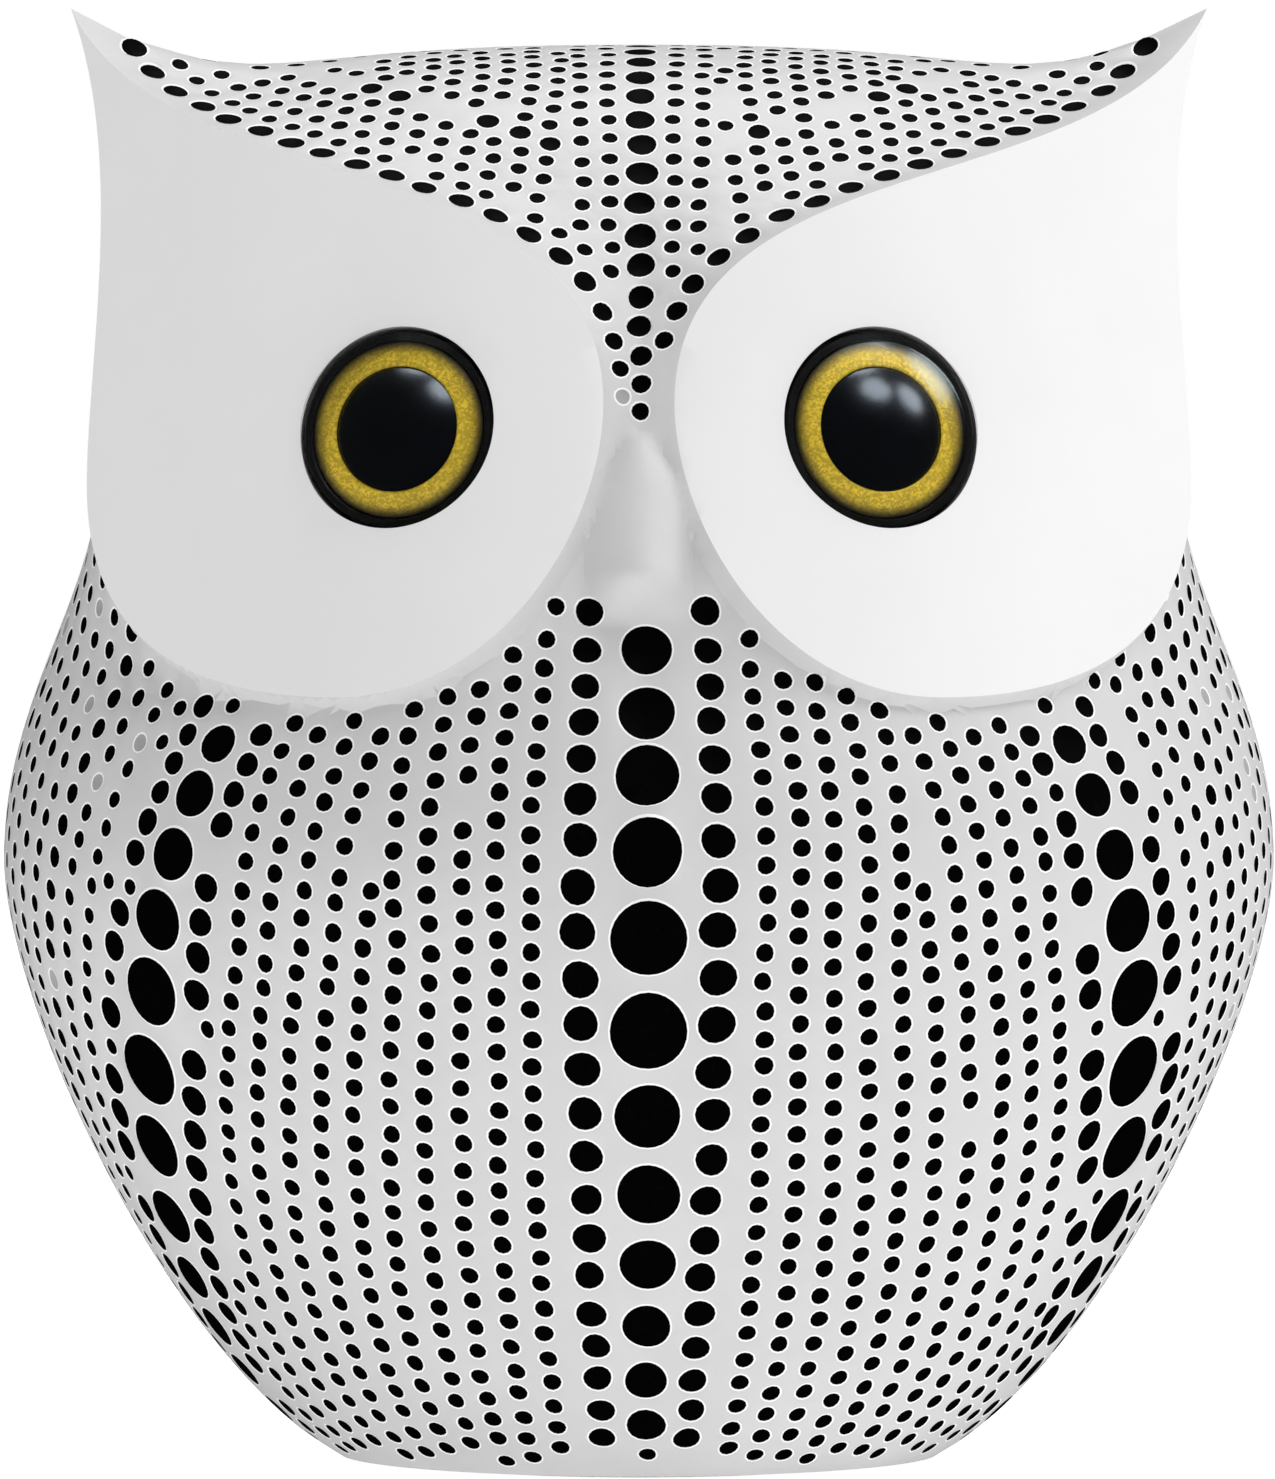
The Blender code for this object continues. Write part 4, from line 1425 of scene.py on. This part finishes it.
class Finish(Nodes):
    """A procedural material under construction."""

    def __init__(self, name):
        self.material = bpy.data.materials.new(name)
        self.material.use_nodes = True
        super().__init__(self.material.node_tree)
        self.shader = self.tree.nodes["Principled BSDF"]
        self.output = self.tree.nodes["Material Output"]

    def place(self):
        """Object coordinates, in metres."""
        return self.node("ShaderNodeTexCoord", out="Object")

    def noise(self, size, detail=3.0, roughness=0.55, seed=0.0):
        """Noise whose patches are about this size, from 0 to 1."""
        return self.node(
            "ShaderNodeTexNoise",
            {"noise_dimensions": "4D"},
            {
                "Vector": self.place(), "Scale": 1.0 / size, "Detail": detail,
                "Roughness": roughness, "W": seed,
            },
        )

    def blend(self, share, first, second):
        """Mixes two colours."""
        return self.node(
            "ShaderNodeMix", {"data_type": "RGBA"}, {0: share, 6: first, 7: second}, 2
        )

    def set(self, **values):
        """Sets or links the shader's own sockets, by name with _ for a space."""
        for key, value in values.items():
            self.feed(self.shader.inputs[key.replace("_", " ")], value)

    def bump(self, height, distance, strength=1.0):
        """Feeds a bump into the shader's normal."""
        self.set(
            Normal=self.node(
                "ShaderNodeBump", {}, {"Strength": strength, "Distance": distance, "Height": height},
                "Normal",
            )
        )


def tinted(colour, factor):
    """A colour made lighter or darker."""
    return tuple(min(1.0, channel * factor) for channel in colour)


def coat_finish(colour):
    """Cast resin with a thin wash, a faint cloudiness and a fine orange peel."""
    finish = Finish("coat_resin")
    cloud = finish.noise(9 * MM, 4.0).smooth(0.35, 0.7)
    speck = finish.noise(0.5 * MM, 2.0, seed=3.0).smooth(0.62, 0.78)
    washed = finish.blend(cloud, tinted(colour, 0.965), tinted(colour, 1.015))
    finish.set(
        Base_Color=finish.blend(speck * 0.25, washed, tinted(colour, 0.9)),
        Roughness=0.40 + 0.12 * finish.noise(2.5 * MM, 3.0, seed=5.0),
        Specular_IOR_Level=0.42,
    )
    peel = finish.noise(0.9 * MM, 2.0, seed=8.0)
    finish.bump(peel + 0.3 * finish.noise(0.22 * MM, 1.0, seed=9.0), 0.018 * MM)
    return finish.material


def face_finish(colour):
    """The discs' smoother, matter paint."""
    finish = Finish("face_resin")
    cloud = finish.noise(12 * MM, 3.0, seed=1.0).smooth(0.3, 0.7)
    finish.set(
        Base_Color=finish.blend(cloud, tinted(colour, 0.985), tinted(colour, 1.01)),
        Roughness=0.46 + 0.08 * finish.noise(3 * MM, 2.0, seed=2.0),
        Specular_IOR_Level=0.4,
    )
    finish.bump(finish.noise(1.4 * MM, 2.0, seed=4.0), 0.012 * MM)
    return finish.material


def lip_highlight_finish(colour):
    """A painted highlight: the bright rim round each dot, coloured lighter than the coat."""
    finish = Finish("dot_lip")
    patch = finish.noise(1.5 * MM, 2.0, seed=6.0)
    finish.set(
        Base_Color=finish.blend(patch, tinted(colour, 1.42), tinted(colour, 1.5)),
        Roughness=0.34 + 0.1 * patch,
    )
    return finish.material


def paint_finish(colour):
    """Satin black enamel, brushed into the dimples."""
    finish = Finish("dot_paint")
    streak = finish.noise(0.3 * MM, 2.0, seed=2.0)
    finish.set(
        Base_Color=finish.blend(streak.smooth(0.55, 0.8), colour, tinted(colour, 2.5)),
        Roughness=0.42 + 0.2 * streak,
        Specular_IOR_Level=0.015,
    )
    finish.bump(streak, 0.01 * MM)
    return finish.material


def raw_resin_shade_finish(colour):
    """Raw cast resin where no paint reached, darkened as painted shade: it stands for the shade in the
    unpainted dimples and in the eye sockets.
    """
    finish = Finish("raw_resin")
    grain = finish.noise(0.8 * MM, 4.0, seed=7.0)
    finish.set(
        Base_Color=finish.blend(grain, tinted(colour, 0.5), tinted(colour, 0.68)),
        Roughness=0.6 + 0.15 * grain,
    )
    finish.bump(grain, 0.03 * MM)
    return finish.material


def eye_radius_wire(finish):
    """Distance from an eye's axis, in the eye's own coordinates."""
    across = finish.node("ShaderNodeSeparateXYZ", {}, {"Vector": finish.place()}, "X")
    along = across.part("Y")
    return (across * across + along * along) ** 0.5


def cup_finish():
    """The eye's black backing."""
    finish = Finish("eye_black")
    haze = finish.noise(1.2 * MM, 3.0)
    finish.set(
        Base_Color=finish.blend(haze, (0.004, 0.004, 0.005), (0.012, 0.012, 0.012)),
        Roughness=0.3 + 0.1 * haze,
        Specular_IOR_Level=0.2,
    )
    return finish.material


def iris_finish(gold):
    """Gold flakes in clear lacquer, bright by the pupil and dark olive at the outer edge."""
    finish = Finish("iris_gold")
    radius = eye_radius_wire(finish)
    flakes = finish.node(
        "ShaderNodeTexVoronoi", {"feature": "F1"},
        {"Vector": finish.place(), "Scale": 1.0 / (0.16 * MM)}, "Color",
    )
    sparkle = finish.node("ShaderNodeSeparateColor", {}, {"Color": flakes}, "Red")
    cloud = finish.noise(0.7 * MM, 3.0)
    outer = radius.smooth(5.25 * MM, 6.35 * MM)
    bright = finish.blend(sparkle.smooth(0.2, 1.0), tinted(gold, 0.8), tinted(gold, 1.3))
    mottled = finish.blend(cloud.smooth(0.4, 0.8) * 0.45, bright, tinted(gold, 0.5))
    finish.set(
        Base_Color=finish.blend(outer, mottled, (0.012, 0.012, 0.003)),
        Metallic=0.25 - 0.2 * outer,
        Roughness=0.34 + 0.2 * sparkle,
    )
    finish.bump(sparkle, 0.02 * MM)
    return finish.material


def pupil_finish():
    """Deep glossy black."""
    finish = Finish("pupil_black")
    haze = finish.noise(2 * MM, 2.0)
    finish.set(
        Base_Color=finish.blend(haze, (0.0002, 0.0004, 0.001), (0.0006, 0.0009, 0.002)),
        Roughness=0.22 + 0.04 * haze,
        Specular_IOR_Level=1.0,
        Specular_Tint=(0.75, 0.87, 1.0),
    )
    return finish.material


def lens_finish():
    """Clear acrylic: it mirrors a little straight on and more at a glancing angle."""
    finish = Finish("lens_clear")
    haze = finish.noise(3 * MM, 2.0)
    finish.set(Base_Color=(0.26, 0.30, 0.30), Metallic=1.0, Roughness=0.2 + 0.05 * haze)
    clear = finish.node("ShaderNodeBsdfTransparent", {}, {"Color": WHITE})
    glance = finish.node("ShaderNodeFresnel", {}, {"IOR": 1.46})
    mixed = finish.node(
        "ShaderNodeMixShader", {},
        {0: (glance - 0.036) * 0.3, 1: clear, 2: Wire(finish, finish.shader.outputs[0])},
    )
    finish.feed(finish.output.inputs["Surface"], mixed)
    return finish.material


def plug_finish():
    """Moulded plastic with a fine grain."""
    finish = Finish("plug_plastic")
    grain = finish.noise(0.35 * MM, 3.0)
    finish.set(
        Base_Color=finish.blend(grain, (0.72, 0.72, 0.71), (0.79, 0.79, 0.78)),
        Roughness=0.42 + 0.12 * grain,
    )
    finish.bump(grain, 0.02 * MM)
    return finish.material


def pad_finish():
    """Closed-cell foam."""
    finish = Finish("pad_foam")
    cells = finish.node(
        "ShaderNodeTexVoronoi", {"feature": "DISTANCE_TO_EDGE"},
        {"Vector": finish.place(), "Scale": 1.0 / (0.45 * MM)}, "Distance",
    )
    wall = 1 - cells.smooth(0.02, 0.14)
    finish.set(
        Base_Color=finish.blend(wall, (0.60, 0.60, 0.58), (0.68, 0.68, 0.66)),
        Roughness=0.82 + 0.1 * wall,
    )
    finish.bump(wall, 0.04 * MM)
    return finish.material


# ---------------------------------------------------------------- turned pieces


def turned(name, outline, steps=ROUND_STEPS):
    """A closed solid of revolution from (radius, height) points that run down the outside."""
    turns = round_turns(steps)
    vertices = []
    rings = []
    for radius, height in outline:
        if radius == 0.0:
            rings.append([len(vertices)])
            vertices.append((0.0, 0.0, height))
            continue
        rings.append(list(range(len(vertices), len(vertices) + steps)))
        vertices += [(radius * math.cos(turn), radius * math.sin(turn), height) for turn in turns]
    faces = []
    for upper, lower in zip(rings, rings[1:] + rings[:1]):
        for step in range(steps):
            after = (step + 1) % steps
            if len(upper) == 1 and len(lower) == 1:
                continue
            if len(upper) == 1:
                faces.append((upper[0], lower[step], lower[after]))
            elif len(lower) == 1:
                faces.append((upper[step], lower[0], upper[after]))
            else:
                faces.append((upper[step], lower[step], lower[after], upper[after]))
    mesh = bpy.data.meshes.new(name)
    mesh.from_pydata(vertices, [], faces)
    mesh.validate()
    mesh.update()
    turn_outwards(mesh)
    mesh.shade_smooth()
    mesh.set_sharp_from_angle(angle=TURNED_SHARP)
    return mesh


def cap_arc(radius, height, base):
    """Points of a dome's outline from its middle down to its rim."""
    sphere = (radius**2 + height**2) / (2 * height)
    widest = math.asin(min(1.0, radius / sphere))
    slants = np.linspace(0.0, widest, DOME_STEPS)
    return [
        (sphere * math.sin(slant), base + height - sphere * (1 - math.cos(slant)))
        for slant in slants
    ]


def cup_mesh():
    """The backing cup, open to the front."""
    inner = EYE_RADIUS - CUP_WALL
    outline = (
        (0.0, CUP_FLOOR),
        (inner, CUP_FLOOR),
        (inner, CUP_RIM - SOFT_EDGE),
        (inner + SOFT_EDGE, CUP_RIM),
        (EYE_RADIUS - SOFT_EDGE, CUP_RIM),
        (EYE_RADIUS, CUP_RIM - SOFT_EDGE),
        (EYE_RADIUS, CUP_BOTTOM),
        (0.0, CUP_BOTTOM),
    )
    return turned("eye_cup", outline)


def iris_mesh():
    """The gold ring, sloping down a little to its outer edge."""
    inner_edge, inner_top, outer_top, outer_edge = (IRIS_BOTTOM + rise for rise in IRIS_HEIGHTS)
    outline = (
        (IRIS_INNER, inner_edge),
        (IRIS_INNER + SOFT_EDGE, inner_top),
        (IRIS_OUTER - SOFT_EDGE, outer_top),
        (IRIS_OUTER, outer_edge),
        (IRIS_OUTER, IRIS_BOTTOM),
        (IRIS_INNER, IRIS_BOTTOM),
    )
    return turned("iris_ring", outline)


def pupil_mesh():
    """The domed pupil."""
    dome = cap_arc(PUPIL_RADIUS, PUPIL_DOME, IRIS_BOTTOM + PUPIL_EDGE)
    return turned("pupil", dome + [(PUPIL_RADIUS, IRIS_BOTTOM), (0.0, IRIS_BOTTOM)])


def lens_mesh():
    """The clear cap, domed outside and hollowed inside."""
    dome = cap_arc(EYE_RADIUS, LENS_DOME, LENS_BOTTOM + LENS_EDGE)
    hollow = cap_arc(EYE_RADIUS - CUP_WALL, LENS_HOLLOW, LENS_BOTTOM)
    return turned("eye_lens", dome + [(EYE_RADIUS, LENS_BOTTOM)] + hollow[::-1])


def add_piece(name, mesh, nodes, place=None):
    """Links a piece that stands for CAD nodes and rides on the body."""
    piece = bpy.data.objects.new(name, mesh)
    bpy.context.scene.collection.objects.link(piece)
    if place is not None:
        piece.matrix_world = place
    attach(piece, "root")
    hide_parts(*nodes)
    return piece


# ---------------------------------------------------------------- operators


class OWL_OT_casting(bpy.types.Operator):
    """Build the casting with its dotted coat and smooth face discs"""

    bl_idname = "owl.casting"
    bl_label = "Casting"

    def execute(self, context):
        settings = context.scene.owl
        mesh = build_casting(settings.dots)
        colours = settings.colours
        for finish in (
            coat_finish(tuple(colours.coat)),
            face_finish(tuple(colours.face)),
            lip_highlight_finish(tuple(colours.coat)),
            paint_finish(tuple(colours.paint)),
            raw_resin_shade_finish(tuple(colours.coat)),
        ):
            mesh.materials.append(finish)
        add_piece("owl_casting", mesh, ("body_casting",))
        return {"FINISHED"}


class OWL_OT_eyes(bpy.types.Operator):
    """Build both eyes: cup, gold ring, pupil and clear cap"""

    bl_idname = "owl.eyes"
    bl_label = "Eyes"

    def execute(self, context):
        gold = tuple(context.scene.owl.colours.gold)
        kinds = (
            ("cup", cup_mesh(), "eye_cup", "eye_black", cup_finish()),
            ("iris", iris_mesh(), "iris_ring", "iris_gold", iris_finish(gold)),
            ("pupil", pupil_mesh(), "pupil", "pupil_black", pupil_finish()),
            ("lens", lens_mesh(), "eye_lens", "lens_clear", lens_finish()),
        )
        for kind, mesh, node, slot, finish in kinds:
            mesh.materials.append(finish)
            for side, word in ((-1.0, "left"), (1.0, "right")):
                add_piece(f"owl_{kind}_{word}", mesh, (f"{node}_{word}",), eye_place(side))
        return {"FINISHED"}


class OWL_OT_base(bpy.types.Operator):
    """Finish the plug and the pad under the owl"""

    bl_idname = "owl.base"
    bl_label = "Base"

    def execute(self, context):
        for node, finish in (("base_plug", plug_finish()), ("base_pad", pad_finish())):
            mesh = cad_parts[node].data
            mesh.materials.clear()
            mesh.materials.append(finish)
        return {"FINISHED"}


class OWL_OT_stage(bpy.types.Operator):
    """Set up the pale floor, the soft light and the camera"""

    bl_idname = "owl.stage"
    bl_label = "Stage"

    def execute(self, context):
        stage = context.scene.owl.stage
        make_floor()
        make_room(stage.room)
        for name, place, size in LIGHTS:
            add_light(name, place, size, getattr(stage, f"{name}_power"))
        make_camera(stage)
        context.scene.view_settings.view_transform = "Standard"
        return {"FINISHED"}


def make_floor():
    """A wide round pale floor."""
    steps = ROUND_STEPS
    turns = round_turns(steps)
    vertices = [(0.0, 0.0, 0.0)]
    for radius in FLOOR_RINGS:
        vertices += [(radius * math.cos(turn), radius * math.sin(turn), 0.0) for turn in turns]
    faces = [(0, 1 + step, 1 + (step + 1) % steps) for step in range(steps)]
    for ring in range(len(FLOOR_RINGS) - 1):
        start = 1 + ring * steps
        for step in range(steps):
            after = (step + 1) % steps
            faces.append((start + step, start + steps + step, start + steps + after, start + after))
    mesh = bpy.data.meshes.new("floor")
    mesh.from_pydata(vertices, [], faces)
    finish = Finish("floor_white")
    mottle = finish.noise(30 * MM, 3.0)
    finish.set(
        Base_Color=finish.blend(mottle, (0.86, 0.86, 0.86), (0.88, 0.88, 0.88)),
        Roughness=0.9,
        Specular_IOR_Level=0.0,
        Emission_Color=WHITE,
        Emission_Strength=FLOOR_GLOW,
    )
    mesh.materials.append(finish.material)
    floor = bpy.data.objects.new("floor", mesh)
    bpy.context.scene.collection.objects.link(floor)
    floor.visible_glossy = False


def make_room(strength):
    """Even white light all round, dimmer in reflections and plain white to the camera."""
    world = bpy.data.worlds.new("studio")
    bpy.context.scene.world = world
    world.use_nodes = True
    room = Nodes(world.node_tree)
    even = room.tree.nodes["Background"]
    room.feed(even.inputs["Color"], WHITE)
    room.feed(even.inputs["Strength"], strength)
    to_camera = room.node("ShaderNodeLightPath", out="Is Camera Ray")
    reflected = room.node(
        "ShaderNodeBackground", {},
        {"Color": (0.8, 0.8, 0.8), "Strength": REFLECTED_ROOM * strength},
    )
    seen = room.node("ShaderNodeBackground", {}, {"Color": WHITE, "Strength": 1.0})
    lit = room.node(
        "ShaderNodeMixShader", {},
        {0: to_camera.part("Is Glossy Ray"), 1: Wire(room, even.outputs[0]), 2: reflected},
    )
    mixed = room.node("ShaderNodeMixShader", {}, {0: to_camera, 1: lit, 2: seen})
    room.feed(room.tree.nodes["World Output"].inputs["Surface"], mixed)


def add_light(name, place, size, power):
    """A round soft light aimed at the owl's middle."""
    light = bpy.data.lights.new(name, "AREA")
    light.energy = power
    light.shape = "DISK"
    light.size = size
    lamp = bpy.data.objects.new(name, light)
    bpy.context.scene.collection.objects.link(lamp)
    lamp.location = place
    aim = LIGHT_AIM - Vector(place)
    lamp.rotation_euler = aim.to_track_quat("-Z", "Y").to_euler()


def make_camera(stage):
    """The camera, in front of the owl and a little above its middle."""
    away = Vector(
        (
            math.sin(stage.azimuth) * math.cos(stage.elevation),
            -math.cos(stage.azimuth) * math.cos(stage.elevation),
            math.sin(stage.elevation),
        )
    )
    right = (-away).cross(Vector((0.0, 0.0, 1.0))).normalized()
    up = right.cross(-away)
    turned_right = right * math.cos(stage.roll) + up * math.sin(stage.roll)
    turned_up = up * math.cos(stage.roll) - right * math.sin(stage.roll)
    matrix = Matrix((turned_right, turned_up, away)).transposed().to_4x4()
    matrix.translation = CAMERA_AIM + away * stage.distance
    lens = bpy.data.cameras.new("camera")
    lens.sensor_fit = "HORIZONTAL"
    lens.lens = lens.sensor_width * stage.distance / stage.span
    lens.clip_start = 0.01
    camera = bpy.data.objects.new("camera", lens)
    camera.matrix_world = matrix
    bpy.context.scene.collection.objects.link(camera)
    bpy.context.scene.camera = camera


# ---------------------------------------------------------------- panel and registration


class OWL_PT_panel(bpy.types.Panel):
    """Lists the owl's settings and steps"""

    bl_idname = "OWL_PT_panel"
    bl_label = "Owl Figurine"
    bl_space_type = "VIEW_3D"
    bl_region_type = "UI"
    bl_category = "Owl"

    def draw(self, context):
        settings = context.scene.owl
        for group in (settings.dots, settings.colours, settings.stage):
            box = self.layout.box()
            for key in group.__annotations__:
                box.prop(group, key)
        for step in STEPS:
            self.layout.operator(step.bl_idname)


STEPS = (OWL_OT_casting, OWL_OT_eyes, OWL_OT_base, OWL_OT_stage)
CLASSES = (
    OwlDotSettings, OwlColourSettings, OwlStageSettings, OwlSettings,
    *STEPS, OWL_PT_panel,
)


def register():
    """Makes the classes and the settings known to Blender."""
    for kind in CLASSES:
        bpy.utils.register_class(kind)
    bpy.types.Scene.owl = PointerProperty(type=OwlSettings)


def unregister():
    """Takes the classes and the settings away again."""
    del bpy.types.Scene.owl
    for kind in reversed(CLASSES):
        bpy.utils.unregister_class(kind)


def main():
    """Builds the looks."""
    register()
    bpy.ops.owl.casting()
    bpy.ops.owl.eyes()
    bpy.ops.owl.base()
    bpy.ops.owl.stage()


if __name__ == "__main__":
    main()
